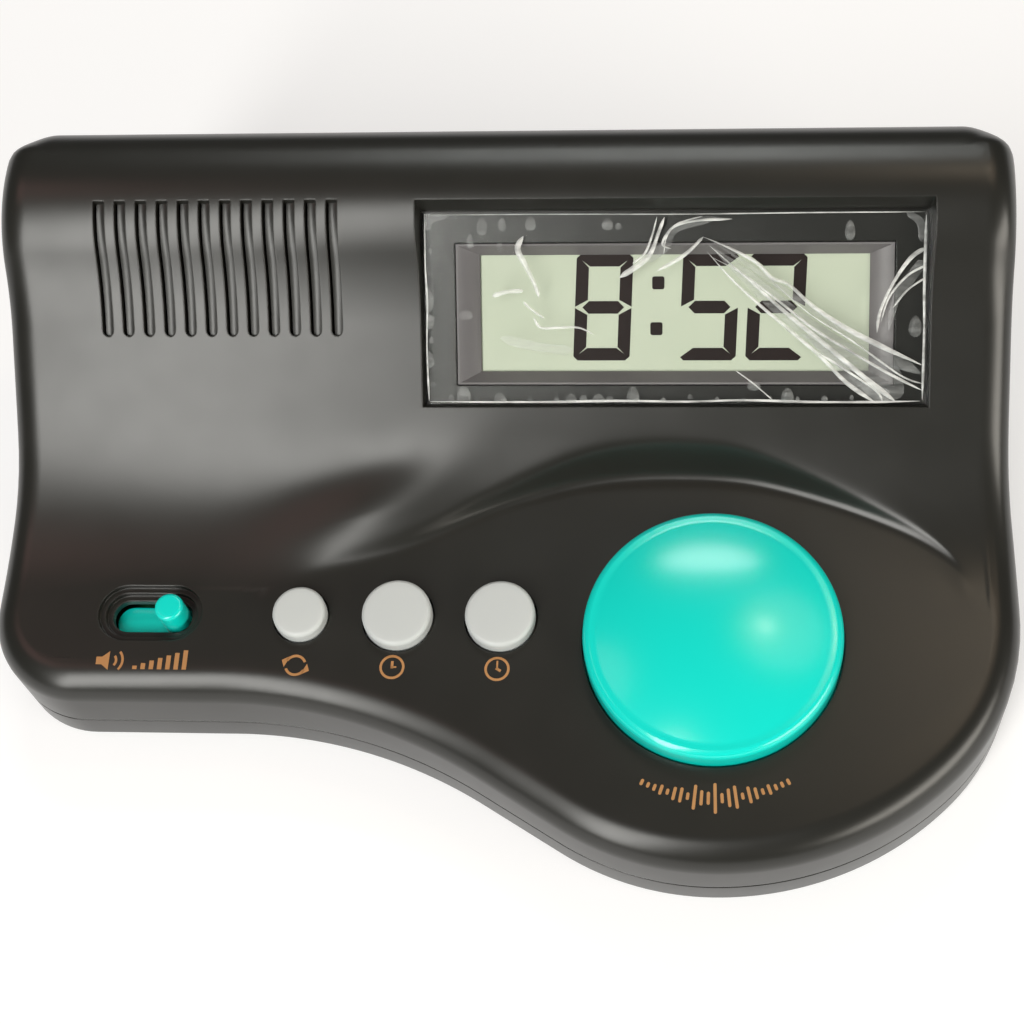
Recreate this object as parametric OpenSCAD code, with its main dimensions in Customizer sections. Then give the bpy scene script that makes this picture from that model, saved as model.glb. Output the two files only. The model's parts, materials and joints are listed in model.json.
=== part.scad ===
// Talking clock: a wedge-shaped desk clock with a sloping display panel, a low
// key deck with a round lobe in front, and a large speech button on the lobe.
// Millimetres. +X is the viewer's right, +Y is the back, +Z is up. The origin is
// the middle of the outline on the surface that the feet stand on.

/* [Body] */
// Overall width of the case outline
body_w = 142.4; // [138:0.2:160]
// Overall depth, from the front of the lobe to the back wall
body_d = 96.6; // [92:0.2:112]
// Radius of the front left corner in plan
front_corner_r = 12.5; // [9:0.5:14]
// Radius of the two back corners in plan
back_corner_r = 7; // [5:0.5:10]
// Radius of the hollow sweep from the straight front edge into the lobe
sweep_r = 70; // [60:1:76]
// Angle that the sweep turns through
sweep_a = 31; // [28:1:33]
// Straight run between the sweep and the lobe
sweep_run = 12.9; // [10:0.1:15]
// Plan radius of the lobe left of its foremost point
lobe_left_r = 40; // [36:0.5:44]
// Plan radius of the lobe right of its foremost point
lobe_right_r = 46; // [42:0.5:48]
// Plan radius of the lobe where it turns into the right side
lobe_side_r = 31.6; // [28:0.2:34]
// Length of each of the two bends that flare the sides towards the front
flare_len = 13; // [10:0.5:14]
// Angle of each flare bend
flare_a = 4.5; // [2:0.5:6]
// Thickness of the case walls
wall = 2.2; // [1.8:0.1:2.6]
// Rounding of the top edge at the sides and front
edge_r = 4; // [3:0.1:4.6]
// Rounding of the top edge at the back
back_edge_r = 6.5; // [5:0.1:7]
// Height of the seam between the two shells
seam_z = 6.8; // [6:0.1:8]

/* [Deck and panel] */
// Height of the key deck at its front edge
deck_h = 17.5; // [17:0.1:20]
// Slope of the key deck
deck_slope = 3; // [1:0.5:5]
// Distance from the straight front edge to where the panel starts to rise
heel_y = 15.1; // [14.6:0.1:17]
// Radius of the hollow between deck and panel
heel_r = 37; // [34:1:40]
// Slope of the display panel
panel_slope = 38; // [35:0.5:40]
// Radius of the hollow above the flat of the panel
brow_r = 37; // [30:1:44]
// Steepest slope, just under the crest
brow_slope = 54; // [50:1:57]
// Radius of the crest
crest_r = 14.5; // [12:0.5:16]
// Flat of the roof behind the crest
roof_flat = 1.2; // [0.6:0.1:3]

/* [Cove] */
// Slope of the cove wall behind the lobe
cove_slope = 69; // [60:1:74]
// Slope of the cove wall where it fades out on the left
cove_end_slope = 40; // [34:1:50]
// Softness of the fillet at the foot of the cove
cove_foot = 1.3; // [0.8:0.1:2]
// Softness of the lip at the top of the cove
cove_lip = 0.9; // [0.5:0.1:1.6]
// Height of the soft ridge that the cove leaves on the panel where it fades out
ridge_h = 1.5; // [0.5:0.1:2]

/* [Display] */
// Distance of the display centre from the right side
display_in = 47.3; // [46:0.1:50]
// Distance of the display centre up the slope from the foot of the flat panel
display_up = 17.05; // [16.5:0.05:17.5]
// Width of the lens
lens_w = 69; // [64:0.5:71]
// Height of the lens, along the slope
lens_h = 26.5; // [25:0.1:27]
// Thickness of the lens
lens_t = 1.2; // [1:0.1:1.5]
// Depth of the lens face under the panel
lens_sink = 0.8; // [0.5:0.1:1.2]
// Thickness of the clear protective film on the lens
film_t = 0.15; // [0.1:0.05:0.3]
// Draft of the recess walls at the sides and foot
recess_draft = 0.7; // [0.4:0.1:1]
// Width of the window behind the lens
window_w = 60.6; // [58:0.2:61]
// Height of the window behind the lens
window_h = 19.8; // [18.5:0.1:20]
// Visible width of the liquid crystal display
lcd_w = 54; // [50:0.5:56]
// Visible height of the liquid crystal display
lcd_h = 16.3; // [15:0.1:17]
// Distance of the display's middle below the middle of the lens
lcd_drop = 0.9; // [0:0.1:1]
// Height of the digits
digit_h = 14.9; // [13:0.1:15.5]

/* [Speech button] */
// Diameter of the speech button
talk_d = 35; // [31:0.5:36]
// Distance of its centre from the foremost point of the case
talk_in = 30.7; // [30:0.1:32]
// Height of its rim above the deck
talk_rim = 3.2; // [2.8:0.1:4]
// Rise of its dome above the rim
talk_dome = 2.5; // [1.5:0.1:3]
// Travel of the speech button
talk_travel = 2.2; // [1.5:0.1:2.4]

/* [Small keys] */
// Diameter of the mode button
mode_d = 7.4; // [6.5:0.1:8]
// Diameter of the hour and minute buttons
set_d = 9.6; // [8.5:0.1:10]
// Distance of the key row from the straight front edge
keys_in = 11.2; // [10.5:0.1:12]
// Distance of the mode button from the left side
mode_x = 44; // [43:0.1:45]
// Distance of the hour button from the left side
hour_x = 57.5; // [56.5:0.1:58]
// Distance of the minute button from the left side
minute_x = 71.7; // [71:0.1:72]
// Height of the small keys above the deck
key_proud = 2; // [1.5:0.1:2.5]
// Travel of the small keys
key_travel = 1; // [0.6:0.1:1.2]

/* [Volume slider] */
// Distance of the recess centre from the left side
volume_x = 22.7; // [21:0.1:24]
// Length of the recess
volume_w = 14.6; // [13:0.1:16]
// Width of the recess
volume_h = 8; // [7:0.1:9]
// Width of each of the two steps inside the recess
volume_step = 0.85; // [0.5:0.05:1]
// Diameter of the knob
knob_d = 4; // [3:0.1:4.2]
// Height of the knob above the deck
knob_proud = 2.6; // [2:0.1:3.5]
// Travel of the slider
slider_travel = 4.8; // [3:0.1:5]

/* [Speaker] */
// Number of slots in the grille
slot_count = 12; // [8:1:12]
// Distance between neighbouring slots
slot_pitch = 2.96; // [2.6:0.02:3.1]
// Width of a slot
slot_w = 1.3; // [1:0.05:1.6]
// Plan length of a slot
slot_len = 13.9; // [12:0.1:14]
// Distance of the grille centre from the left side
grille_x = 32.1; // [31:0.1:33]
// Outer diameter of the speaker
speaker_d = 29; // [27:0.5:30]
// Depth of the speaker's frame
speaker_t = 4; // [3.5:0.1:5]
// Tilt of the speaker
speaker_tilt = 43; // [41:0.5:45]

/* [Base] */
// How far the rubber feet stand out
foot_proud = 1; // [0.8:0.1:1.5]
// Diameter of a foot
foot_d = 9; // [8:0.5:10]
// Thickness of the base floor
floor_t = 2; // [1.8:0.1:2.4]
// Length of a battery cell
cell_len = 44.5; // [43:0.5:46]
// Diameter of a battery cell
cell_d = 10.5; // [10:0.1:11]
// Distance of the battery bay's centre from the back wall
bay_in = 27.3; // [26:0.1:28]
// Length of the battery door
door_w = 54.4; // [53.8:0.1:56]
// Width of the battery door
door_d = 25.2; // [24.6:0.1:26]
// How far the battery door opens
door_open = 80; // [30:5:85]

/* [Fits] */
// Gap round every button and the slider
key_gap = 0.25; // [0.2:0.05:0.35]
// Gap round the battery door
door_gap = 0.3; // [0.25:0.05:0.4]
// Gap between a fixed piece and its seat
seat_gap = 0.1; // [0.05:0.05:0.15]
// Gap between the lip of the base and the walls of the top
lip_gap = 0.3; // [0.2:0.05:0.4]
// Radial clearance of screws in their holes
screw_gap = 0.06; // [0.04:0.01:0.1]
// Radial clearance of the door's hinge pins
pin_gap = 0.1; // [0.05:0.05:0.15]

/* [Hidden] */
$fn = 48;
eps = 0.01;

// Colours
black = [0.10, 0.10, 0.10];
teal = [0.10, 0.84, 0.76];
key_grey = [0.80, 0.82, 0.82];
lcd_green = [0.74, 0.79, 0.70];
board_green = [0.12, 0.38, 0.20];
steel = [0.72, 0.72, 0.74];

// Outline: a chain of [length, turn] bends, walked counterclockwise from the left
// end of the straight front edge. Positive turns are to the left.
function arc_len(r, a) = r * abs(a) * PI / 180;
lobe_x = body_w / 2 - lobe_side_r * (1 - sin(45)) - lobe_right_r * sin(45);
front_y = -body_d / 2 + (sweep_r + lobe_left_r) * (1 - cos(sweep_a)) + sweep_run * sin(sweep_a);
flare_r = flare_len / (flare_a * PI / 180);
flare_in = 2 * flare_r * (1 - cos(flare_a));
flare_dy = 2 * flare_r * sin(flare_a);
front_run = lobe_x + body_w / 2 - front_corner_r - (sweep_r + lobe_left_r) * sin(sweep_a)
    - sweep_run * cos(sweep_a);
lobe_top_y = -body_d / 2 + lobe_right_r * (1 - cos(45)) + lobe_side_r * sin(45);
right_run = body_d / 2 - back_corner_r - lobe_top_y - flare_dy;
back_run = body_w - 2 * flare_in - 2 * back_corner_r;
left_run = body_d / 2 - back_corner_r - front_y - front_corner_r - flare_dy;
bends = [
    [front_run, 0],
    [arc_len(sweep_r, sweep_a), -sweep_a],
    [sweep_run, 0],
    [arc_len(lobe_left_r, sweep_a), sweep_a],
    [arc_len(lobe_right_r, 45), 45],
    [arc_len(lobe_side_r, 45), 45],
    [flare_len, flare_a],
    [flare_len, -flare_a],
    [right_run, 0],
    [arc_len(back_corner_r, 90), 90],
    [back_run, 0],
    [arc_len(back_corner_r, 90), 90],
    [left_run, 0],
    [flare_len, -flare_a],
    [flare_len, flare_a],
    [arc_len(front_corner_r, 90), 90]];
bend_start = [for (i = 0, s = 0; i <= len(bends); s = s + (i < len(bends) ? bends[i][0] : 0), i = i + 1) s];
function walk(p, l, t) = t == 0
    ? [p.x + l * cos(p.z), p.y + l * sin(p.z), p.z]
    : let (r = l / (t * PI / 180))
        [p.x + r * (sin(p.z + t) - sin(p.z)), p.y - r * (cos(p.z + t) - cos(p.z)), p.z + t];
bend_pose = [for (i = 0, p = [-body_w / 2 + front_corner_r, front_y, 0]; i < len(bends);
    p = walk(p, bends[i][0], bends[i][1]), i = i + 1) p];
outline_len = bend_start[len(bends)];

// Point of the outline at length s, with its outward normal: [x, y, nx, ny]
function rim(s) = let (
    u = s < 0 ? s + outline_len : s,
    k = max([for (i = [0:len(bends) - 1]) if (bend_start[i] <= u + eps / 10) i]),
    b = bends[k],
    l = u - bend_start[k],
    p = walk(bend_pose[k], l, b[1] * l / b[0]))
    [p.x, p.y, sin(p.z), -cos(p.z)];
function inward(q, d) = [q[0] - d * q[2], q[1] - d * q[3]];

// The four points that divide the outline into front, right, back and left
s_front = -bends[15][0] / 2;
s_right = bend_start[5] + bends[5][0] / 2;
s_back = bend_start[9] + bends[9][0] / 2;
s_left = bend_start[11] + bends[11][0] / 2;
s_end = outline_len + s_front;

// Radius of the top edge at an outline point, larger along the back
function ease(a, b, t) = let (u = min(1, max(0, (t - a) / (b - a)))) u * u * (3 - 2 * u);
function edge_at(q) = edge_r + (back_edge_r - edge_r) * ease(0.2, 0.95, q[3]);

// Height of the deck, and profile of the panel as arcs and a straight
function deck_z(y) = deck_h + (y - front_y) * tan(deck_slope);
y_heel = front_y + heel_y;
z_heel = deck_z(y_heel);
y_flat = y_heel + heel_r * (sin(panel_slope) - sin(deck_slope));
z_flat = z_heel + heel_r * (cos(deck_slope) - cos(panel_slope));
y_roof = body_d / 2 - back_edge_r - roof_flat;
y_crest = y_roof - crest_r * sin(brow_slope);
y_brow = y_crest - brow_r * (sin(brow_slope) - sin(panel_slope));
z_brow = z_flat + (y_brow - y_flat) * tan(panel_slope);
z_crest = z_brow + brow_r * (cos(panel_slope) - cos(brow_slope));
z_roof = z_crest + crest_r * (1 - cos(brow_slope));
function leg(t) = sqrt(1 - t * t);
function panel_z(y) =
    y < y_heel ? deck_z(y) :
    y < y_flat ? z_heel + heel_r * (cos(deck_slope) - leg((y - y_heel) / heel_r + sin(deck_slope))) :
    y < y_brow ? z_flat + (y - y_flat) * tan(panel_slope) :
    y < y_crest ? z_brow + brow_r * (cos(panel_slope) - leg((y - y_brow) / brow_r + sin(panel_slope))) :
    y < y_roof ? z_crest + crest_r * (leg(sin(brow_slope) - (y - y_crest) / crest_r) - cos(brow_slope)) :
    z_roof;

// Foot of the cove, as distances from the lobe's foremost point and from the heel
cove_points = [[-95, -6], [-80, -2.5], [-65, 1.1], [-45, 6.1], [-29, 13.2], [-17, 16.7], [-5, 17.6],
    [7, 16.5], [23.5, 10.9], [33, 5.3], [38, -1.5], [44, -12]];
function cove_slope_at(i) = let (p = cove_points, n = len(p) - 1)
    i == 0 ? (p[1][1] - p[0][1]) / (p[1][0] - p[0][0]) :
    i == n ? (p[n][1] - p[n - 1][1]) / (p[n][0] - p[n - 1][0]) :
    (p[i + 1][1] - p[i - 1][1]) / (p[i + 1][0] - p[i - 1][0]);
function cove_y(x) = let (
    p = cove_points,
    u = min(max(x - lobe_x, p[0][0]), p[len(p) - 1][0] - eps),
    i = max([for (k = [0:len(p) - 2]) if (p[k][0] <= u) k]),
    h = p[i + 1][0] - p[i][0],
    t = (u - p[i][0]) / h,
    a = cove_slope_at(i) * h,
    b = cove_slope_at(i + 1) * h)
    y_heel + (1 + 2 * t) * pow(1 - t, 2) * p[i][1] + t * pow(1 - t, 2) * a
        + t * t * (3 - 2 * t) * p[i + 1][1] + t * t * (t - 1) * b;

// Height of the top surface. The deck runs on behind the lobe to the cove wall.
// back_shift moves the cove wall back, for the inner surface of the case.
function top_z(x, y, back_shift = 0) = let (
    foot = cove_y(x) + back_shift,
    lean = atan((cove_y(x + 1) - cove_y(x - 1)) / 2),
    face = cove_end_slope + (cove_slope - cove_end_slope) * ease(-58, -28, x - lobe_x),
    rise = (y - foot) * cos(lean) * tan(face),
    cove = (rise + sqrt(rise * rise + cove_foot * cove_foot)) / 2,
    ridge = ridge_h * exp(-pow((x - lobe_x + 48) / 13, 2)) * exp(-pow((y - foot - 5) / 5.5, 2)),
    panel = panel_z(y) - deck_z(y) + (y > y_heel ? ridge : 0),
    soft = cove_lip * min(1, panel / 2.5))
    deck_z(y) + (panel + cove - sqrt(pow(panel - cove, 2) + soft * soft)) / 2;

// Rows of the top surface, front to back: along the cove, then along the panel
cove_rows = [-1.9, -0.9, -0.3, 0.3, 0.9, 1.5, 2.1, 2.8, 3.8, 5.2];
function panel_rows() = [y_flat + 3, y_brow, y_brow + 2.4, y_brow + 4.8, y_crest, y_crest + 1.6,
    y_crest + 3.3, y_crest + 5.1, y_crest + 7.1, y_crest + 9.3, y_crest + 10.9, y_crest + 12];
function rows_at(x, y0, y1, offsets, shift) = let (
    c = cove_y(x) + shift,
    cove = [for (o = offsets) c + o],
    last = cove[len(cove) - 1],
    panel = panel_rows())
    concat([y0, (y0 + cove[0]) / 2], cove,
        [for (k = [1:3]) last + (panel[0] - last) * k / 4], panel, [y1]);

// Spacing of the grid lines, closer at both ends
function spread(t, k) = t - k * sin(360 * t) / (2 * PI);

// A closed solid under the top surface: the outline moved in by inset, the top
// surface lowered by drop, flat at z_base. The case is this solid less its cavity.
module wedge(inset, drop, z_base, columns, rings, offsets, shift) {
    fit = 240;
    function ring_d(q) = max(edge_at(q) - inset, 0.8);
    function at_ring(s) = let (q = rim(s)) inward(q, inset + ring_d(q));
    function steps(a, b) = [for (k = [0:fit]) a + (b - a) * k / fit];
    function rim_table(a, b, axis) = [for (s = steps(a, b)) [rim(s)[axis], s]];
    function edge_table(a, b) = [for (s = steps(a, b)) at_ring(s)];
    front_edge = edge_table(s_front, s_right);
    back_edge = edge_table(s_back, s_left);
    fl = at_ring(s_front);
    fr = at_ring(s_right);
    br = at_ring(s_back);
    bl = at_ring(s_left);
    // Columns crowd towards the corners, where the outline turns
    function cut(a, b, table) = [for (i = [0:columns]) i == 0 ? a : i == columns ? b
        : lookup(rim(a).x + (rim(b).x - rim(a).x) * spread(i / columns, 0.72), table)];
    front_s = cut(s_front, s_right, rim_table(s_front, s_right, 0));
    back_s = cut(s_left, s_back, rim_table(s_back, s_left, 0));
    left_y = rows_at(bl.x, fl.y, bl.y, offsets, shift);
    right_y = rows_at(br.x, fr.y, br.y, offsets, shift);
    rows = len(left_y) - 1;
    // Rows stretch towards the corners in the same way
    function side(y, low, high, a, b) = let (
        near = min(8, (b - a) / 3),
        u = max(0, 1 - (y - a) / near),
        v = max(0, 1 - (b - y) / near))
        y - (a - low) * u * u + (high - b) * v * v;
    left_table = rim_table(s_left, s_end, 1);
    right_table = rim_table(s_right, s_back, 1);
    left_s = [for (j = [1:rows - 1])
        lookup(side(left_y[j], rim(s_end).y, rim(s_left).y, fl.y, bl.y), left_table)];
    right_s = [for (j = [1:rows - 1])
        lookup(side(right_y[j], rim(s_right).y, rim(s_back).y, fr.y, br.y), right_table)];
    // Outline parameters once round: front, right, back, left
    loop = concat(front_s, right_s, [for (i = [columns:-1:0]) back_s[i]],
        [for (j = [rows - 2:-1:0]) left_s[j]]);
    n = len(loop);
    rim_q = [for (s = loop) rim(s)];
    function ring_point(q, k) = let (
        a = 90 * k / rings,
        r = ring_d(q),
        p = inward(q, inset + r * (1 - cos(a))))
        [p.x, p.y, top_z(p.x, p.y, shift) - drop - r * (1 - sin(a))];
    base = [for (q = rim_q) let (p = inward(q, inset)) [p.x, p.y, z_base]];
    ringed = [for (k = [0:rings]) each [for (q = rim_q) ring_point(q, k)]];
    // Inner grid points; its outer points are those of the last ring
    inner = [for (j = [1:rows - 1]) let (l = at_ring(left_s[j - 1]), r = at_ring(right_s[j - 1]))
        for (i = [1:columns - 1]) let (
            x = l.x + (r.x - l.x) * spread(i / columns, 0.45),
            y = rows_at(x, lookup(x, front_edge), lookup(x, back_edge), offsets, shift)[j])
            [x, y, top_z(x, y, shift) - drop]];
    last = n * (rings + 1);
    first_inner = last + n;
    function id(i, j) =
        j == 0 ? last + i :
        i == columns ? last + columns + j :
        j == rows ? last + columns + rows + (columns - i) :
        i == 0 ? last + 2 * columns + rows + (rows - j) :
        first_inner + (j - 1) * (columns - 1) + i - 1;
    // Base: strips from front to back, and a fan of triangles along each side
    back_0 = 2 * columns + rows;
    base_faces = concat(
        [for (i = [0:columns - 1]) [i, back_0 - i, back_0 - i - 1, i + 1]],
        [for (k = [columns + 1:columns + rows - 1]) [columns, k + 1, k]],
        [for (k = [back_0:n - 2]) [0, k + 1, k]]);
    ring_faces = [for (k = [0:rings]) for (i = [0:n - 1]) let (
        a = k * n + i,
        b = k * n + (i + 1) % n)
        each [[a, b + n, a + n], [a, b, b + n]]];
    grid_faces = [for (j = [0:rows - 1]) for (i = [0:columns - 1])
        each (i + 0.5 < columns / 2
            ? [[id(i, j), id(i + 1, j + 1), id(i, j + 1)], [id(i, j), id(i + 1, j), id(i + 1, j + 1)]]
            : [[id(i, j), id(i + 1, j), id(i, j + 1)], [id(i + 1, j), id(i + 1, j + 1), id(i, j + 1)]])];
    all_faces = concat(base_faces, ring_faces, grid_faces);
    polyhedron(concat(base, ringed, inner), [for (f = all_faces) [for (k = [len(f) - 1:-1:0]) f[k]]]);
}

// Places
left_x = -body_w / 2;
display_x = body_w / 2 - display_in;
talk_x = lobe_x;
talk_y = -body_d / 2 + talk_in;
key_row_y = front_y + keys_in;
slider_x = left_x + volume_x;
speaker_x = left_x + grille_x;
bay_x = -4;
bay_y = body_d / 2 - bay_in;
drop = wall * 1.27;
floor_top = foot_proud + floor_t;

module on_deck(x, y) {
    translate([x, y, deck_z(y)]) rotate([deck_slope, 0, 0]) children();
}
module on_panel(x, up) {
    translate([x, y_flat + up * cos(panel_slope), z_flat + up * sin(panel_slope)])
        rotate([panel_slope, 0, 0]) children();
}
module on_display() {
    on_panel(display_x, display_up) children();
}
// The speaker's axis, through the middle of the grille
grille_y = y_brow + slot_len / 2 - 1.1;
speaker_y = grille_y - 1.2;
speaker_z = top_z(speaker_x, speaker_y) - 4.6;
module on_speaker() {
    translate([speaker_x, speaker_y, speaker_z]) rotate([speaker_tilt, 0, 0]) children();
}

module tube(r_out, r_in, h) {
    difference() {
        cylinder(r = r_out, h = h);
        translate([0, 0, -eps]) cylinder(r = r_in, h = h + 2 * eps);
    }
}
module oval(w, d, h) {
    linear_extrude(h) union() {
        square([w - d, d], center = true);
        for (side = [-1, 1]) translate([side * (w - d) / 2, 0]) circle(d = d);
    }
}
module plate(w, d, h) {
    translate([-w / 2, -d / 2, 0]) cube([w, d, h]);
}
module rounded_plate(w, d, h, r) {
    linear_extrude(h) union() {
        square([w - 2 * r, d], center = true);
        square([w, d - 2 * r], center = true);
        for (x = [-1, 1], y = [-1, 1]) translate([x * (w / 2 - r), y * (d / 2 - r)]) circle(r);
    }
}
// Outline polygon moved in by d
module outline(d, step = 2.2) {
    polygon([for (k = [0:len(bends) - 1]) let (
        n = bends[k][1] == 0 ? 1 : max(1, round(bends[k][0] / step)))
        for (i = [0:n - 1]) inward(rim(bend_start[k] + bends[k][0] * i / n + eps / 5), d)]);
}
// Round tube swept along a list of points
function unit(v) = v / norm(v);
module swept(points, r, sides = 8) {
    n = len(points);
    dirs = [for (i = [0:n - 1]) unit(points[min(i + 1, n - 1)] - points[max(i - 1, 0)])];
    // Each ring's first axis is the last one's, turned into the new plane
    axes = [for (i = 0, a = unit(cross(dirs[0], [0.3, 0.2, 0.9])); i < n;
        i = i + 1, a = i < n ? unit(a - dirs[i] * (a * dirs[i])) : a) a];
    verts = [for (i = [0:n - 1]) each [for (k = [0:sides - 1])
        points[i] + r * (cos(360 * k / sides) * axes[i] + sin(360 * k / sides) * cross(dirs[i], axes[i]))]];
    polyhedron(verts, concat(
        [[for (k = [0:sides - 1]) k]],
        [[for (k = [sides - 1:-1:0]) (n - 1) * sides + k]],
        [for (i = [0:n - 2]) for (k = [0:sides - 1]) let (
            a = i * sides + k,
            b = i * sides + (k + 1) % sides)
            each [[a, b + sides, b], [a, a + sides, b + sides]]]));
}
// Coil of turns curls round the z axis, from z = 0 to z = h
coil_rings = 8;
function coil_points(r_low, r_high, h, turns) = [for (i = [0:turns * coil_rings]) let (
    t = i / (turns * coil_rings),
    r = r_low + (r_high - r_low) * t)
    [r * cos(360 * turns * t), r * sin(360 * turns * t), h * t]];

// Fixed heights under the deck, measured square to it
deck_under = -drop - 0.05;
flange_top = deck_under - door_gap;
board_top = -8;
board_t = 1.2;
key_post_r = 1.6;

// Screw places
back_post_in = 7;
case_posts = [[left_x + 8.7, front_y + 28.9], [left_x + back_post_in, body_d / 2 - 8.8],
    [body_w / 2 - back_post_in, body_d / 2 - 8.8], [lobe_x + 22.6, -body_d / 2 + 14.3],
    [lobe_x - 21.4, -body_d / 2 + 14.3]];
post_z = 8.2;
post_r = 3.2;
screw_r = 1.25;
screw_head_r = 2.6;
screw_head_h = 1.8;
screw_len = 7.5;
screw_seat_z = 5.5;
// How far the screw holes run on past the tips of the screws
hole_spare = 0.3;
board_posts = [[left_x + 33.7, key_row_y - 4.7], [left_x + 33.7, key_row_y + 9.8],
    [lobe_x - 20.4, key_row_y + 10.7], [lobe_x + 22.1, talk_y - 3.4]];
small_screw_r = 0.9;
small_head_r = 1.9;

// Case
lens_back = -lens_sink - lens_t - seat_gap;
seat_t = 2;
seat_back = lens_back - seat_t;
lens_seat_w = lens_w + 4.6;
display_posts = [for (x = [-1, 1], y = [-1, 1]) [x * (lens_w / 2 + 0.3), y * 10.5]];
stack_back = seat_back - 5.4;
module lens_recess() {
    // Walls lean outwards to the surface, further at the top where the crest is
    top_n = 2.4;
    hull() {
        translate([0, 0, -lens_sink - eps]) plate(lens_w + 0.6, lens_h + 0.4, eps);
        translate([-lens_w / 2 - 0.3 - recess_draft, -lens_h / 2 - 0.2 - 1.5 * recess_draft, top_n + 1.6])
            cube([lens_w + 0.6 + 2 * recess_draft, lens_h + 0.4 + 1.5 * recess_draft + 3.4, eps]);
    }
    translate([0, 0, lens_back]) plate(lens_w + 0.6, lens_h + 0.4, -lens_back);
    translate([0, 0, seat_back - 3]) plate(window_w, window_h, 6);
}
module grille_slots() {
    for (i = [0:slot_count - 1]) translate([speaker_x + (i - (slot_count - 1) / 2) * slot_pitch, 0, 20])
        linear_extrude(40) union() {
            translate([-slot_w / 2, grille_y - slot_len / 2 + slot_w / 2])
                square([slot_w, slot_len - slot_w / 2]);
            translate([0, grille_y - slot_len / 2 + slot_w / 2]) circle(d = slot_w);
        }
}
module deck_cuts() {
    on_deck(talk_x, talk_y) translate([0, 0, -9]) cylinder(r = talk_d / 2 + key_gap, h = 20);
    for (k = [[mode_x, mode_d], [hour_x, set_d], [minute_x, set_d]])
        on_deck(left_x + k[0], key_row_y) translate([0, 0, -6]) cylinder(r = k[1] / 2 + key_gap, h = 10);
    on_deck(slider_x, key_row_y + 0.3) {
        translate([0, 0, -0.8]) oval(volume_w, volume_h, 4);
        translate([0, 0, -1.6]) oval(volume_w - 2 * volume_step, volume_h - 2 * volume_step, 4);
        translate([0, 0, -6]) oval(volume_w - 4 * volume_step, volume_h - 4 * volume_step, 10);
    }
}
// Longer than the way to the panel, which cuts it off
collar_h = 16;
// What stands inside the case: screw posts, lens seat, speaker collar, board posts
module case_inside() {
    for (p = case_posts) translate([p.x, p.y, post_z]) cylinder(r = post_r, h = 60);
    for (p = board_posts) on_deck(p.x, p.y) translate([0, 0, board_top]) cylinder(r = 2.2, h = 30);
    on_display() {
        translate([-lens_seat_w / 2, -lens_h / 2 - 2.4, seat_back]) cube([lens_seat_w, lens_h + 6.6, 5]);
        for (p = display_posts) translate([p.x, p.y, stack_back]) cylinder(r = 2, h = 8);
    }
    on_speaker() translate([0, 0, -1.5]) tube(speaker_d / 2 + 1.3, speaker_d / 2 + seat_gap, collar_h);
}
module top_case() color(black) {
    difference() {
        wedge(0, 0, seam_z, 56, 5, cove_rows, 0);
        difference() {
            wedge(wall, drop, seam_z - 1, 32, 2, [-1.9, 0, 1.5, 3, 5.2], 1.2);
            case_inside();
        }
        on_display() lens_recess();
        grille_slots();
        deck_cuts();
        for (p = case_posts) translate([p.x, p.y, post_z - 1])
            cylinder(r = screw_r + screw_gap, h = screw_seat_z + screw_len + hole_spare - post_z + 1);
        for (p = board_posts) on_deck(p.x, p.y)
            translate([0, 0, board_top - 1]) cylinder(r = small_screw_r + screw_gap, h = 5);
        on_display() for (p = display_posts)
            translate([p.x, p.y, stack_back - 1]) cylinder(r = small_screw_r + screw_gap, h = 5);
    }
}

// Base
base_round = 1.8;
lip_t = 1.1;
lip_h = 1.2;
bay_w = door_w + 2 * door_gap;
bay_d = door_d + 2 * door_gap;
bay_wall = 1.4;
bay_top = floor_top + cell_d + 1.4;
feet = [[left_x + 13, front_y + 10.5], [left_x + 22, body_d / 2 - 9], [body_w / 2 - 22, body_d / 2 - 9],
    [lobe_x + 2, -body_d / 2 + 9.5]];
foot_sink = 0.5;
// Grip lines and cut in the door's latch edge, for a fingertip
notch_w = 12;
notch_r = 4.2;
latch_d = 1.5;
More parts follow.
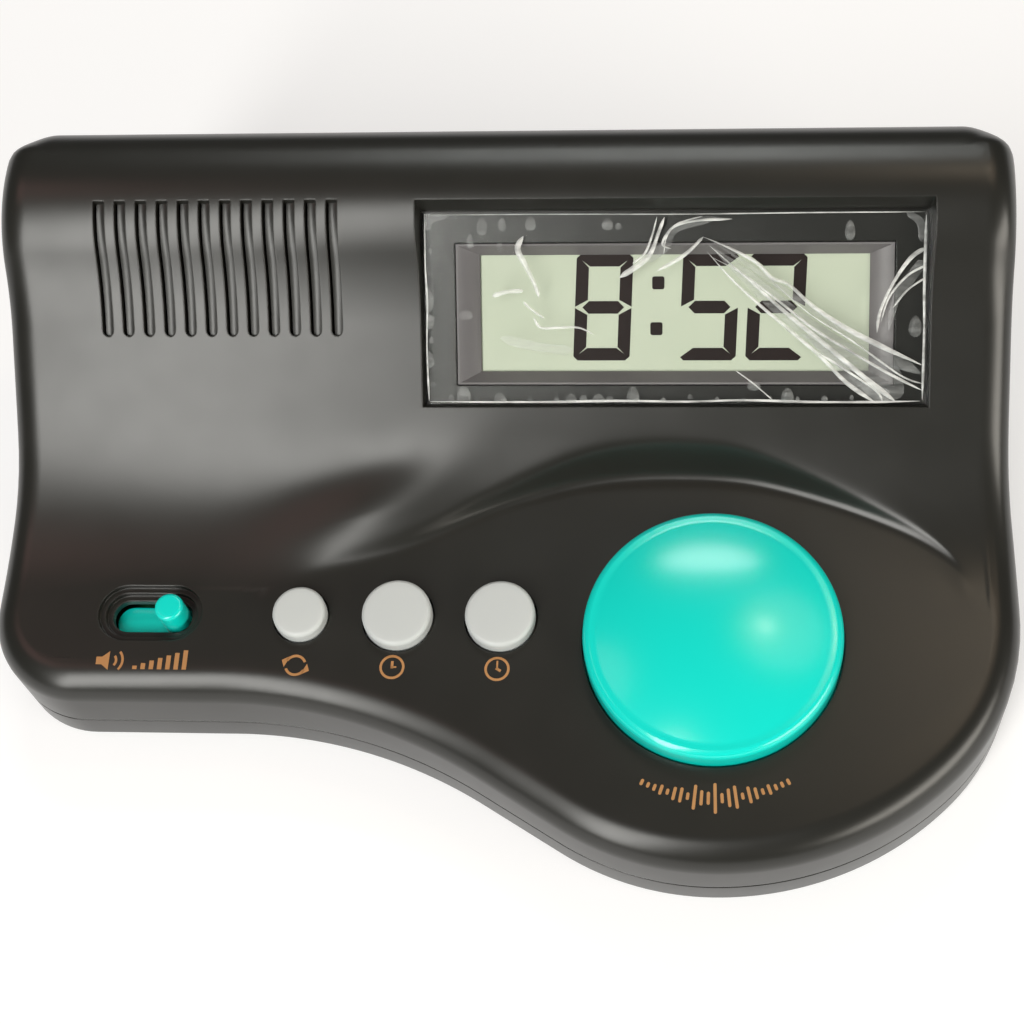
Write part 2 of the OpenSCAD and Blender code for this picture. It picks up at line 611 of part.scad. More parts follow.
// Hinge of the battery door, along its back edge
hinge_r = floor_t / 2;
hinge_y = bay_y + door_d / 2 - hinge_r;
pin_r = 0.5;
pin_reach = 0.8;
module on_hinge() {
    translate([bay_x, hinge_y, foot_proud + hinge_r]) rotate([0, 90, 0]) children();
}
module bottom_case() color(black) {
    difference() {
        union() {
            difference() {
                union() {
                    translate([0, 0, foot_proud]) linear_extrude(0.9) outline(0.9);
                    translate([0, 0, foot_proud + 0.45]) linear_extrude(0.5) outline(0.45);
                    translate([0, 0, foot_proud + 0.9]) linear_extrude(seam_z - foot_proud - 0.9) outline(0);
                }
                translate([0, 0, floor_top]) linear_extrude(seam_z) outline(wall + lip_t + lip_gap);
            }
            difference() {
                translate([0, 0, floor_top - 0.5]) linear_extrude(seam_z + lip_h - floor_top + 0.5)
                    outline(wall + lip_gap);
                translate([0, 0, floor_top - 1]) linear_extrude(seam_z + lip_h) outline(wall + lip_t + lip_gap);
            }
            for (p = case_posts) translate([p.x, p.y, floor_top - 0.5])
                cylinder(r = post_r + 0.4, h = post_z - floor_top + 0.5);
            translate([bay_x, bay_y, floor_top - 0.5])
                plate(bay_w + 2 * bay_wall, bay_d + 2 * bay_wall, bay_top + bay_wall - floor_top + 0.5);
        }
        for (p = case_posts) translate([p.x, p.y, 0]) {
            cylinder(r = screw_r + 0.25, h = 20);
            cylinder(r = screw_head_r + 0.3, h = screw_seat_z);
        }
        for (p = feet) translate([p.x, p.y, 0]) cylinder(r = foot_d / 2 + seat_gap, h = foot_proud + foot_sink);
        translate([bay_x, bay_y, 0]) plate(bay_w, bay_d, bay_top);
        // Sockets for the hinge pins of the door
        on_hinge()
            cylinder(r = pin_r + pin_gap, h = bay_w + 2 * (pin_reach + pin_gap - door_gap), center = true);
        // Windows for the wires at one end of the bay
        translate([bay_x - bay_w / 2 - bay_wall - 1, bay_y - 2, bay_top - 2.2]) cube([3.4, 4, 1.6]);
    }
    // Rib between the cells, and the stops that the door closes against
    translate([bay_x - cell_len / 2 + 3, bay_y - 0.5, bay_top - 3.4]) cube([cell_len - 6, 1, 3.6]);
    for (x = [-1, 1], y = [-1, 1])
        translate([bay_x + x * (bay_w / 2 - 2.4), bay_y + y * (bay_d / 2 - 0.8), floor_top + seat_gap])
            plate(5, 2, 1.2);
}
module battery_door() color(black) {
    difference() {
        // The plate ends in a hinge barrel with a pin at each end
        union() {
            translate([bay_x, bay_y - hinge_r / 2, foot_proud])
                rounded_plate(door_w, door_d - hinge_r, floor_t, 0.8);
            on_hinge() cylinder(r = hinge_r, h = door_w - 2 * hinge_r, center = true);
            on_hinge() cylinder(r = pin_r, h = door_w + 2 * pin_reach, center = true);
        }
        // Finger notch and the grip lines beside it
        translate([bay_x, bay_y - door_d / 2, foot_proud - 1]) cylinder(r = notch_r, h = 2);
        for (i = [0:3]) translate([bay_x - notch_w / 2, bay_y - door_d / 2 + 6 + 1.6 * i, foot_proud - eps])
            cube([notch_w, 0.7, 0.4]);
    }
    // Springy latch tongue along the opposite edge
    translate([bay_x - 4, bay_y - door_d / 2 + 0.2, floor_top - 0.3]) {
        cube([8, 1, 3.4]);
        translate([0, 0, 2.5]) cube([8, latch_d, 0.9]);
    }
}
module rubber_feet() color([0.14, 0.14, 0.14]) {
    for (p = feet) translate([p.x, p.y, 0]) rotate_extrude()
        polygon([[0, 0], [foot_d / 2 - 0.5, 0], [foot_d / 2, 0.5], [foot_d / 2, foot_proud + foot_sink],
            [0, foot_proud + foot_sink]]);
}
module screw(r, len, head_r, head_h) {
    // Pan head with its top at z = 0, shank upwards
    difference() {
        rotate_extrude() polygon([[0, 0], [head_r - 0.5, 0], [head_r, 0.6], [head_r, head_h], [r, head_h],
            [r, head_h + len - r], [r / 3, head_h + len], [0, head_h + len]]);
        for (a = [0, 90]) rotate(a) translate([0, 0, -eps]) plate(head_r * 1.2, 0.5, head_h * 0.5);
    }
}
module case_screws() color(steel) {
    for (p = case_posts) translate([p.x, p.y, screw_seat_z - screw_head_h])
        screw(screw_r, screw_len, screw_head_r, screw_head_h);
}

// Cells and contacts
cell_z = floor_top + seat_gap + cell_d / 2 + 0.2;
cell_off = cell_d / 2 + 0.75;
spring_len = 4.6;
contact_t = 0.4;
nub_h = 1;
cell_x0 = bay_x - bay_w / 2 + contact_t + spring_len + 0.1;
cell_x1 = bay_x + bay_w / 2 - contact_t - spring_len - 0.1;
// Sleeve of the cell with its raised end; dir is the way that the nub points
module cell(x_mid, y, dir) {
    half = (cell_len - nub_h) / 2;
    translate([x_mid, y, cell_z]) rotate([0, dir * 90, 0]) translate([0, 0, -half - nub_h / 2]) rotate_extrude()
        polygon([[0, 0], [cell_d / 2 - 0.6, 0], [cell_d / 2, 0.5], [cell_d / 2, 2 * half - 0.5],
            [cell_d / 2 - 0.6, 2 * half], [1.9, 2 * half], [1.9, cell_len], [0, cell_len]]);
}
module cell_front() color([0.75, 0.62, 0.30]) cell(cell_x0 + cell_len / 2, bay_y - cell_off, 1);
module cell_back() color([0.75, 0.62, 0.30]) cell(cell_x1 - cell_len / 2, bay_y + cell_off, -1);
module contact_spring(x, y, dir) {
    translate([x, y, cell_z]) rotate([0, dir * 90, 0])
        swept(coil_points(3.6, 2.4, spring_len - 0.8, 4), 0.35, 6);
}
// Least gap between neighbouring turns, over 0.4
echo(contact_spring_gap = (spring_len - 0.8) / 4 - 0.7,
    talk_spring_gap = talk_spring_h / talk_turns - 2 * talk_wire_r);
module battery_springs() color(steel) {
    contact_spring(cell_x0 - spring_len + 0.35, bay_y - cell_off, 1);
    contact_spring(cell_x1 + spring_len - 0.35, bay_y + cell_off, -1);
}
contact_h = 9;
module contact(x, y, w) {
    translate([x, y - w / 2, floor_top + 1.6]) cube([contact_t, w, contact_h]);
}
module contact_bridge() color(steel) {
    x = bay_x + bay_w / 2 - contact_t;
    contact(x, bay_y, 2 * cell_off + 8);
    // Raised pad that meets the nub of the front cell
    translate([x + eps, bay_y - cell_off, cell_z]) rotate([0, -90, 0])
        cylinder(r1 = 3.2, r2 = 2, h = x - cell_x0 - cell_len - 0.05);
}
module contact_terminals() color(steel) {
    x = bay_x - bay_w / 2;
    for (side = [-1, 1]) contact(x, bay_y + side * cell_off, 8);
    translate([x + contact_t - eps, bay_y + cell_off, cell_z]) rotate([0, 90, 0])
        cylinder(r1 = 3.2, r2 = 2, h = cell_x1 - cell_len - x - contact_t - 0.05);
}

// Display
module display_lens() color([0.85, 0.9, 0.9, 0.35]) {
    on_display() translate([0, 0, -lens_sink - lens_t]) rounded_plate(lens_w, lens_h, lens_t, 0.6);
}
module protective_film() color([0.95, 0.97, 1, 0.25]) {
    on_display() translate([0, 0, -lens_sink]) plate(lens_w - 0.3, lens_h - 0.3, film_t);
}
frame_lip = 2.3;
module lcd_frame() color([0.32, 0.33, 0.34]) {
    depth = seat_t + 0.05;
    on_display() translate([0, 0, seat_back - 0.05]) difference() {
        plate(window_w - 2 * seat_gap, window_h - 2 * seat_gap, depth);
        // Bevelled opening, narrow at the display
        hull() {
            translate([0, -lcd_drop, -eps]) plate(lcd_w, lcd_h, eps);
            translate([0, 0, depth]) plate(lcd_w + 2 * frame_lip, lcd_h + 1.1 * frame_lip, eps);
        }
        translate([0, -lcd_drop, -1]) plate(lcd_w, lcd_h, 2);
    }
}
glass_w = lcd_w + 9;
glass_h = lcd_h + 6;
glass_t = 2.1;
glass_top = seat_back - 0.1;
module lcd_glass() color(lcd_green) {
    on_display() {
        // Two panes: the rear one is wider, for the contact pads
        translate([0, -lcd_drop, glass_top - glass_t / 2]) plate(glass_w - 1, glass_h - 4, glass_t / 2);
        translate([0, -lcd_drop, glass_top - glass_t]) plate(glass_w - 1, glass_h, glass_t / 2);
    }
}
// One seven-segment figure, 0 to 9, as bars with pointed ends
bar_t = digit_h * 0.12;
digit_w = digit_h * 0.52;
figures = ["abcdef", "bc", "abged", "abgcd", "fgbc", "afgcd", "afgedc", "abc", "abcdefg", "abcdfg"];
function has(text_on, key) = len(search(key, text_on)) > 0;
module bar(x, y, len, upright) {
    h = len / 2 - bar_t * 0.08;
    t = bar_t / 2;
    translate([x, y]) rotate(upright ? 90 : 0)
        polygon([[-h, 0], [-h + t, t], [h - t, t], [h, 0], [h - t, -t], [-h + t, -t]]);
}
module figure(n) {
    on = figures[n];
    w = digit_w - bar_t;
    h = (digit_h - bar_t) / 2;
    if (has(on, "a")) bar(0, h, w, false);
    if (has(on, "g")) bar(0, 0, w, false);
    if (has(on, "d")) bar(0, -h, w, false);
    if (has(on, "f")) bar(-w / 2, h / 2, h, true);
    if (has(on, "b")) bar(w / 2, h / 2, h, true);
    if (has(on, "e")) bar(-w / 2, -h / 2, h, true);
    if (has(on, "c")) bar(w / 2, -h / 2, h, true);
}
figure_x = [-9.85, 4.95, 14.2];
colon_x = -2.3;
figure_n = [8, 5, 2];
module lcd_segments() color([0.12, 0.08, 0.07]) {
    on_display() translate([0, -lcd_drop, glass_top]) linear_extrude(0.08) {
        for (i = [0:2]) translate([figure_x[i], 0]) figure(figure_n[i]);
        for (y = [-1, 1]) translate([colon_x, y * digit_h * 0.2]) square(digit_h * 0.12, center = true);
    }
}
module zebra_strips() color([0.85, 0.55, 0.65]) {
    on_display() for (side = [-1, 1]) translate([0, side * (glass_h / 2 - 1.1) - lcd_drop, stack_back])
        plate(glass_w - 4, 1.8, glass_top - glass_t - stack_back);
}
display_board_w = lens_w + 4.4;
display_board_h = 27;
module display_board() color(board_green) {
    on_display() translate([0, 0, stack_back - board_t]) difference() {
        plate(display_board_w, display_board_h, board_t);
        for (p = display_posts) translate([p.x, p.y, -1]) cylinder(r = small_screw_r + 0.2, h = 4);
    }
}
module display_screws() color(steel) {
    on_display() for (p = display_posts) translate([p.x, p.y, stack_back - board_t - 1.2])
        screw(small_screw_r, 4.6, small_head_r, 1.2);
}

// Main board, under the deck. Its edges are measured from the left side, from the
// lobe's foremost point and from the key row.
board_in = 13.5;
board_past_lobe = 25;
board_front = 7.2;
board_back = 15.5;
// Rows of parts behind the keys, from the key row
parts_row = 9;
chip_in = 47;
crystal_past_chip = 9;
capacitor_in = 18.5;
array_past_crystal = 10;
pair_in = 25;
board_x0 = left_x + board_in;
board_x1 = lobe_x + board_past_lobe;
board_y0 = key_row_y - board_front;
board_y1 = key_row_y + board_back;
module main_board() color(board_green) {
    difference() {
        union() {
            on_deck(0, key_row_y) translate([board_x0, board_y0 - key_row_y, board_top - board_t])
                cube([board_x1 - board_x0, board_y1 - board_y0, board_t]);
            on_deck(talk_x, talk_y) translate([0, 0, board_top - board_t]) cylinder(r = 18, h = board_t);
        }
        for (p = board_posts) on_deck(p.x, p.y) translate([0, 0, board_top - board_t - 1])
            cylinder(r = small_screw_r + 0.2, h = 4);
    }
}
module board_screws() color(steel) {
    for (p = board_posts) on_deck(p.x, p.y) translate([0, 0, board_top - board_t - 1.2])
        screw(small_screw_r, 4.6, small_head_r, 1.2);
}
module voice_chip() color([0.06, 0.06, 0.06]) {
    on_deck(left_x + chip_in, key_row_y + parts_row) translate([0, 0, board_top]) rotate_extrude()
        polygon([[0, 0], [4.6, 0], [4.3, 0.5], [3.2, 1.1], [1.6, 1.5], [0, 1.6]]);
}
crystal_r = 1;
module crystal() color(steel) {
    on_deck(left_x + chip_in + crystal_past_chip, key_row_y + parts_row)
        translate([0, 0, board_top + crystal_r + 0.05]) rotate([0, 90, 0]) cylinder(r = crystal_r, h = 6);
}
module capacitor() color([0.10, 0.12, 0.35]) {
    on_deck(left_x + capacitor_in, key_row_y + parts_row + 2) translate([0, 0, board_top]) rotate_extrude()
        polygon([[0, 0], [2.1, 0], [2.5, 0.3], [2.5, 0.9], [2.3, 1.1], [2.5, 1.3], [2.5, 4.3], [2.2, 4.6],
            [0, 4.6]]);
}
module board_parts() color([0.20, 0.20, 0.20]) {
    array_in = chip_in + crystal_past_chip + array_past_crystal;
    on_deck(left_x + array_in, key_row_y + parts_row - 1) for (i = [0:3], j = [0:1])
        translate([2.6 * i, 3 * j, board_top]) cube([1.6, 0.8, 0.6]);
    on_deck(left_x + pair_in, key_row_y + parts_row) for (i = [0:1])
        translate([0, 3.4 * i, board_top]) cube([3, 1.4, 1.1]);
}
ribbon_w = 11;
// Its left edge, from the right end of the display board
ribbon_in = 19.4;
ribbon_t = 0.6;
// Flat cable from the display board down to the main board, folded once
module ribbon_cable() color([0.55, 0.56, 0.58]) {
    edge_up = display_up - display_board_h / 2;
    under = stack_back - board_t;
    top_y = y_flat + edge_up * cos(panel_slope) - under * sin(panel_slope);
    top_z0 = z_flat + edge_up * sin(panel_slope) + under * cos(panel_slope);
    low_y = board_y1 - 2.5;
    low_z = deck_z(key_row_y) + (low_y - key_row_y) * tan(deck_slope) + board_top + 0.1;
    start = [top_y + 1.2, top_z0 + 0.3];
    bend = [for (i = [0:10]) let (t = i / 10)
        start * pow(1 - t, 3) + 3 * t * pow(1 - t, 2) * [start.x - 1, start.y - 5]
        + 3 * t * t * (1 - t) * [low_y + 0.2, low_z + 6] + pow(t, 3) * [low_y, low_z]];
    dirs = [for (i = [0:10]) unit(bend[min(10, i + 1)] - bend[max(0, i - 1)])];
    translate([display_x + display_board_w / 2 - ribbon_in, 0, 0]) rotate([90, 0, 90]) linear_extrude(ribbon_w)
        polygon(concat([for (i = [0:10]) bend[i] + ribbon_t / 2 * [-dirs[i].y, dirs[i].x]],
            [for (i = [10:-1:0]) bend[i] - ribbon_t / 2 * [-dirs[i].y, dirs[i].x]]));
}

// Speech button: a domed cap with a flange under the deck and a switch post inside
cap_wall = 1.6;
talk_r = talk_d / 2;
dome_r = (talk_r * talk_r + talk_dome * talk_dome) / (2 * talk_dome);
talk_flange_r = talk_r + 1.2;
switch_h = 4.3;
cap_ceiling = 1.5;
talk_spring_r = 6.4;
talk_wire_r = 0.4;
talk_spring_h = cap_ceiling - board_top - 2 * talk_wire_r - 0.1;
talk_turns = 5;
module talk_button() color(teal) {
    rim_round = 0.9;
    on_deck(talk_x, talk_y) rotate_extrude($fn = 96) polygon(concat(
        [[0, cap_ceiling], [talk_r - cap_wall, cap_ceiling], [talk_r - cap_wall, flange_top - 1.2],
            [talk_flange_r, flange_top - 1.2], [talk_flange_r, flange_top], [talk_r, flange_top]],
        [for (i = [0:4]) let (a = 90 * i / 5)
            [talk_r - rim_round * (1 - cos(a)), talk_rim - rim_round * (1 - sin(a)) + 0.1]],
        [for (i = [1:9]) let (x = (talk_r - rim_round) * (1 - i / 9))
            [x, talk_rim + sqrt(dome_r * dome_r - x * x) - dome_r + talk_dome]]));
    on_deck(talk_x, talk_y) translate([0, 0, board_top + switch_h + talk_travel + 0.1])
        cylinder(r = 2.6, h = cap_ceiling - board_top - switch_h - talk_travel);
}
module talk_spring() color(steel) {
    on_deck(talk_x, talk_y) translate([0, 0, board_top + talk_wire_r + 0.05])
        swept(coil_points(talk_spring_r, talk_spring_r, talk_spring_h, talk_turns), talk_wire_r, 6);
}
module talk_switch() color([0.25, 0.25, 0.27]) {
    on_deck(talk_x, talk_y) translate([0, 0, board_top]) {
        rounded_plate(6, 6, 3.4, 0.4);
        cylinder(r = 1.7, h = switch_h);
    }
}

// Small keys on rubber domes
module key_cap(x, d) {
    r = d / 2;
    round_r = 0.6;
    on_deck(left_x + x, key_row_y) rotate_extrude() polygon(concat(
        [[0, board_top + 3.1], [key_post_r, board_top + 3.1], [key_post_r, flange_top - 0.9],
            [r + 0.9, flange_top - 0.9], [r + 0.9, flange_top], [r, flange_top]],
        [for (i = [0:4]) let (a = 90 * i / 4)
            [r - round_r * (1 - cos(a)), key_proud - 0.1 - round_r * (1 - sin(a))]],
        [[0, key_proud]]));
}
module mode_button() color(key_grey) key_cap(mode_x, mode_d);
module hour_button() color(key_grey) key_cap(hour_x, set_d);
module minute_button() color(key_grey) key_cap(minute_x, set_d);
module key_dome(x) {
    on_deck(left_x + x, key_row_y) translate([0, 0, board_top]) rotate_extrude()
        polygon([[3.2, 0], [3.6, 0], [3.6, 0.6], [2.4, 2.9], [0, 3], [0, 2.3], [1.8, 2.3]]);
}
module mode_dome() color([0.6, 0.6, 0.62]) key_dome(mode_x);
module hour_dome() color([0.6, 0.6, 0.62]) key_dome(hour_x);
module minute_dome() color([0.6, 0.6, 0.62]) key_dome(minute_x);

// Volume slider, resting at its loud end
slider_plate_w = 11.8;
slider_plate_d = 4.4;
slider_plate_t = 1;
slot_half = (volume_w - 4 * volume_step) / 2;
knob_x = slider_x + slot_half - knob_d / 2 - 0.35;
slider_top = deck_under - 0.2;
knob_h = knob_proud - slider_top;
switch_top = -4.9;
module on_slider() {
    on_deck(knob_x, key_row_y + 0.3) children();
}
module volume_slider() color(teal) {
    on_slider() difference() {
        union() {
            translate([knob_d / 2 + 1 - slider_plate_w / 2, 0, slider_top - slider_plate_t])
                oval(slider_plate_w, slider_plate_d, slider_plate_t);
            translate([0, 0, slider_top - eps]) rotate_extrude() polygon([[0, 0], [knob_d / 2, 0],
                [knob_d / 2, knob_h - 0.5], [knob_d / 2 - 0.15, knob_h - 0.15], [knob_d / 2 - 0.5, knob_h],
                [0, knob_h]]);
        }
        translate([0, 0, slider_top - slider_plate_t - eps]) plate(1.7, 1.7, 2.2);
    }
}
module volume_lever() color([0.15, 0.15, 0.15]) {
    low = switch_top - 0.8;
    on_slider() translate([0, 0, low]) plate(1.5, 1.5, slider_top - slider_plate_t + 2 - low);
}
module volume_switch() color(steel) {
    lever_run = slider_travel + 2.1;
    on_deck(knob_x - slider_travel / 2, key_row_y + 0.3) translate([0, 0, board_top]) difference() {
        plate(lever_run + 4, 4.6, switch_top - board_top);
        translate([0, 0, switch_top - board_top - 1.2]) plate(lever_run, 2.1, 2);
    }
}

// Speaker
module speaker_frame() color(steel) {
    on_speaker() difference() {
        rotate_extrude() polygon([[5.4, -speaker_t], [9.6, -speaker_t], [speaker_d / 2 - 1.6, -0.8],
            [speaker_d / 2, -0.8], [speaker_d / 2, 0], [speaker_d / 2 - 1.9, 0], [9.2, -speaker_t + 0.6],
            [5.4, -speaker_t + 0.6]]);
        // Openings in the basket
        for (a = [0:60:300]) rotate(a) translate([7.6, 0, -speaker_t - 1]) cylinder(r = 1.2, h = 2.4);
    }
}
module speaker_cone() color([0.07, 0.07, 0.07]) {
    on_speaker() rotate_extrude() polygon([[0, -1.9], [2.4, -2.2], [4.4, -3], [10.9, -0.9], [11.6, -0.35],
        [12.1, -0.25], [12.7, 0.05], [14.2, 0.05], [14.2, 0.35], [12.5, 0.35], [12, 0.1], [11.5, 0],
        [10.8, -0.45], [4.4, -2.5], [2.4, -1.7], [0, -1.4]]);
}
module speaker_magnet() color([0.35, 0.35, 0.37]) {
    on_speaker() translate([0, 0, -speaker_t - 4.05]) union() {
        cylinder(r = 7.4, h = 4);
        cylinder(r = 3.6, h = 4.6);
    }
}
// Three clamps round the collar hold the speaker's rim
module speaker_clamps() color([0.10, 0.10, 0.10]) {
    on_speaker() for (a = [30:120:270]) rotate(a)
        translate([speaker_d / 2 - 1.3, -2, -2.6]) difference() {
            cube([3.4, 4, 1]);
            translate([2, 2, -1]) cylinder(r = 0.5, h = 3);
        }
}
module dust_cloth() color([0.03, 0.03, 0.03]) {
    on_speaker() translate([0, 0, 0.5]) cylinder(r = speaker_d / 2 - 0.4, h = 0.3);
}

// Wires, along hand-chosen routes between their solder points
wire_r = 0.6;
function smooth_path(p, steps = 3) = [for (i = [0:len(p) - 2]) for (k = [0:steps - 1]) let (
    a = p[max(i - 1, 0)],
    b = p[i],
    c = p[i + 1],
    d = p[min(i + 2, len(p) - 1)],
    t = k / steps)
    b + (c - a) * t / 2 + (a * 2 - b * 5 + c * 4 - d) * t * t / 2 + (b * 3 - a - c * 3 + d) * pow(t, 3) / 2];
function route(p) = concat(smooth_path(p), [p[len(p) - 1]]);
tag_back = speaker_t + 1.6;
speaker_tag = [speaker_x, speaker_y + tag_back * sin(speaker_tilt), speaker_z - tag_back * cos(speaker_tilt)];
function pad(x, y) = [x, y, deck_z(y) + board_top / cos(deck_slope) + wire_r * 0.2];
module speaker_wires() color([0.65, 0.10, 0.10]) {
    x = speaker_x - 2;
    for (side = [-1, 1]) swept(route([speaker_tag + [side * 8.2, 0, 0.1], speaker_tag + [side * 8.8, -1, -4],
        [x + 1 + side * 3, 14, 18.5], [x + side * 1.5, 8, 13.5], [x + side * 1.2, 4, 12.8],
        pad(x + side * 1.2, board_y1 - 2) + [0, 0.4, 2.4], pad(x + side * 1.2, board_y1 - 2.4)]), wire_r);
}
module battery_wires() color([0.10, 0.10, 0.12]) {
    edge = bay_x - bay_w / 2 - bay_wall;
    drop_y = [bay_y - 4, bay_y - 12, bay_y - 13.4];
    drop_z = [bay_top + 0.4, bay_top + 0.5, bay_top - 1.5];
    // The two strands lie side by side in the window, then one inside the other in the bend
    for (side = [-1, 1]) let (x = edge - 3.2 - side)
        swept(route([[edge + bay_wall + 0.5, bay_y + side * 1.1, bay_top - 1.4],
            [edge - 1.5, bay_y + side * 1.1, bay_top - 1.2], [x - 0.2, drop_y[0], drop_z[0]],
            [x, drop_y[1], drop_z[1]], [x, drop_y[2], drop_z[2]],
            pad(x, board_y1 - 1.4) + [0, 0.2, 2], pad(x, board_y1 - 1.8)]), wire_r);
}

top_case();
bottom_case();
battery_door();
display_lens();
protective_film();
lcd_frame();
lcd_glass();
lcd_segments();
zebra_strips();
display_board();
display_screws();
ribbon_cable();
main_board();
board_screws();
voice_chip();
crystal();
capacitor();
board_parts();
talk_switch();
talk_button();
talk_spring();
mode_button();
hour_button();
minute_button();
mode_dome();
hour_dome();
minute_dome();
volume_slider();
volume_lever();
volume_switch();
speaker_frame();
speaker_cone();
speaker_magnet();
speaker_clamps();
dust_cloth();
speaker_wires();
battery_wires();
cell_front();
cell_back();
battery_springs();
contact_bridge();
contact_terminals();
case_screws();
rubber_feet();
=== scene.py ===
"""Talking clock: dense smooth shells, lens with its film, display, buttons, marks and
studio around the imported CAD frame. Lengths are in millimetres until mesh() makes metres."""
import json
import math
import bpy
import bmesh
import numpy as np
from mathutils import Matrix, Vector


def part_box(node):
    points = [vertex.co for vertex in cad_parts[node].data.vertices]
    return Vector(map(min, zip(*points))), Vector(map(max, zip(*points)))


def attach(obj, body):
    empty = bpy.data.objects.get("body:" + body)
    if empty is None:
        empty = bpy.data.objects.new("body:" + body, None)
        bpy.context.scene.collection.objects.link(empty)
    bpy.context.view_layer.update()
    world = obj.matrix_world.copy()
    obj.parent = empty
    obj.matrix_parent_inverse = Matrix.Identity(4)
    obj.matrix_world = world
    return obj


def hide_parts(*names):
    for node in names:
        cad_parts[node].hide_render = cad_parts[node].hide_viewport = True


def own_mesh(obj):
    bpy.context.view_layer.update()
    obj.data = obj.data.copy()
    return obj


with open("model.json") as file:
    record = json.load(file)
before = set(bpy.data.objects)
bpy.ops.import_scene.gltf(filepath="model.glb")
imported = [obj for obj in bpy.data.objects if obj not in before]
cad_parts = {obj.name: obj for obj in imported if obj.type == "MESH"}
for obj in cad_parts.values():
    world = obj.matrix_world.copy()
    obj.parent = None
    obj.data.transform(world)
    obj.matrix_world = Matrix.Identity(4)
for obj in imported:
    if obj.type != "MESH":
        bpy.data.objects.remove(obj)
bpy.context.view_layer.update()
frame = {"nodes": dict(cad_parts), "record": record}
scene = bpy.context.scene
MM = 0.001
rad = math.radians


def box_mm(node):
    low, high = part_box(node)
    return np.array(low) / MM, np.array(high) / MM


# Driving sizes
base_low, base_high = box_mm("bottom_case")
body_w = base_high[0] - base_low[0]
body_d = base_high[1] - base_low[1]
foot_proud = base_low[2]
front_corner_r = 12.5
back_corner_r = 7.0
sweep_r, sweep_a, sweep_run = 70.0, 31.0, 12.9
lobe_left_r, lobe_right_r, lobe_side_r = 40.0, 46.0, 31.6
flare_len, flare_a = 13.0, 4.5
wall = 2.2
drop = wall * 1.27
edge_r, back_edge_r = 4.0, 6.5
seam_z = box_mm("top_case")[0][2]
deck_h, deck_slope = 17.5, 3.0
heel_y, heel_r = 15.1, 37.0
panel_slope = 38.0
brow_r, brow_slope = 37.0, 54.0
crest_r, roof_flat = 14.5, 1.2
cove_slope, cove_end_slope = 69.0, 40.0
cove_foot, cove_lip, ridge_h = 1.3, 0.9, 1.5
display_in, display_up = 47.3, 17.05
lens_w, lens_h, lens_t, lens_sink = 69.0, 26.5, 1.2, 0.8
recess_draft = 0.7
window_w, window_h = 60.6, 19.8
lcd_w, lcd_h, lcd_down = 54.0, 16.3, 0.9
talk_d, talk_rim, talk_dome = 35.0, 3.2, 2.5
key_gap, key_proud = 0.25, 2.0
volume_w, volume_h, volume_step = 14.6, 8.0, 0.85
knob_d, knob_proud = 4.0, 2.6
slot_count, slot_pitch, slot_w, slot_len, slot_depth = 12, 2.96, 1.5, 13.9, 0.75

left_x = -body_w / 2


def node_mid(node):
    low, high = box_mm(node)
    return (low + high) / 2


# Outline in plan
def arc_len(r, a):
    return r * rad(abs(a))


def sin(a):
    return math.sin(rad(a))


def cos(a):
    return math.cos(rad(a))


def tan(a):
    return math.tan(rad(a))


lobe_x = body_w / 2 - lobe_side_r * (1 - sin(45)) - lobe_right_r * sin(45)
front_y = -body_d / 2 + (sweep_r + lobe_left_r) * (1 - cos(sweep_a)) + sweep_run * sin(sweep_a)
flare_r = flare_len / rad(flare_a)
flare_in = 2 * flare_r * (1 - cos(flare_a))
flare_dy = 2 * flare_r * sin(flare_a)
front_run = (lobe_x + body_w / 2 - front_corner_r - (sweep_r + lobe_left_r) * sin(sweep_a)
             - sweep_run * cos(sweep_a))
lobe_top_y = -body_d / 2 + lobe_right_r * (1 - cos(45)) + lobe_side_r * sin(45)
right_run = body_d / 2 - back_corner_r - lobe_top_y - flare_dy
back_run = body_w - 2 * flare_in - 2 * back_corner_r
left_run = body_d / 2 - back_corner_r - front_y - front_corner_r - flare_dy
BENDS = [(front_run, 0), (arc_len(sweep_r, sweep_a), -sweep_a), (sweep_run, 0),
         (arc_len(lobe_left_r, sweep_a), sweep_a), (arc_len(lobe_right_r, 45), 45),
         (arc_len(lobe_side_r, 45), 45), (flare_len, flare_a), (flare_len, -flare_a),
         (right_run, 0), (arc_len(back_corner_r, 90), 90), (back_run, 0),
         (arc_len(back_corner_r, 90), 90), (left_run, 0), (flare_len, -flare_a),
         (flare_len, flare_a), (arc_len(front_corner_r, 90), 90)]


def walk(pose, length, turn):
    x, y, heading = pose
    if turn == 0:
        return x + length * cos(heading), y + length * sin(heading), heading
    r = length / rad(turn)
    return (x + r * (sin(heading + turn) - sin(heading)),
            y - r * (cos(heading + turn) - cos(heading)), heading + turn)


starts, poses = [0.0], [(-body_w / 2 + front_corner_r, front_y, 0.0)]
for length, turn in BENDS:
    poses.append(walk(poses[-1], length, turn))
    starts.append(starts[-1] + length)
outline_len = starts[-1]


def rim(s):
    """Outline point at length s, and its outward normal: x, y, nx, ny."""
    s = s % outline_len
    k = max(i for i in range(len(BENDS)) if starts[i] <= s + 1e-9)
    length, turn = BENDS[k]
    x, y, heading = walk(poses[k], s - starts[k], turn * (s - starts[k]) / length)
    return np.array([x, y, sin(heading), -cos(heading)])


def inward(q, d):
    return q[:2] - d * q[2:]


s_front = -BENDS[15][0] / 2
s_right = starts[5] + BENDS[5][0] / 2
s_back = starts[9] + BENDS[9][0] / 2
s_left = starts[11] + BENDS[11][0] / 2
s_end = outline_len + s_front


# Top surface
def ease(a, b, t):
    u = np.clip((t - a) / (b - a), 0, 1)
    return u * u * (3 - 2 * u)


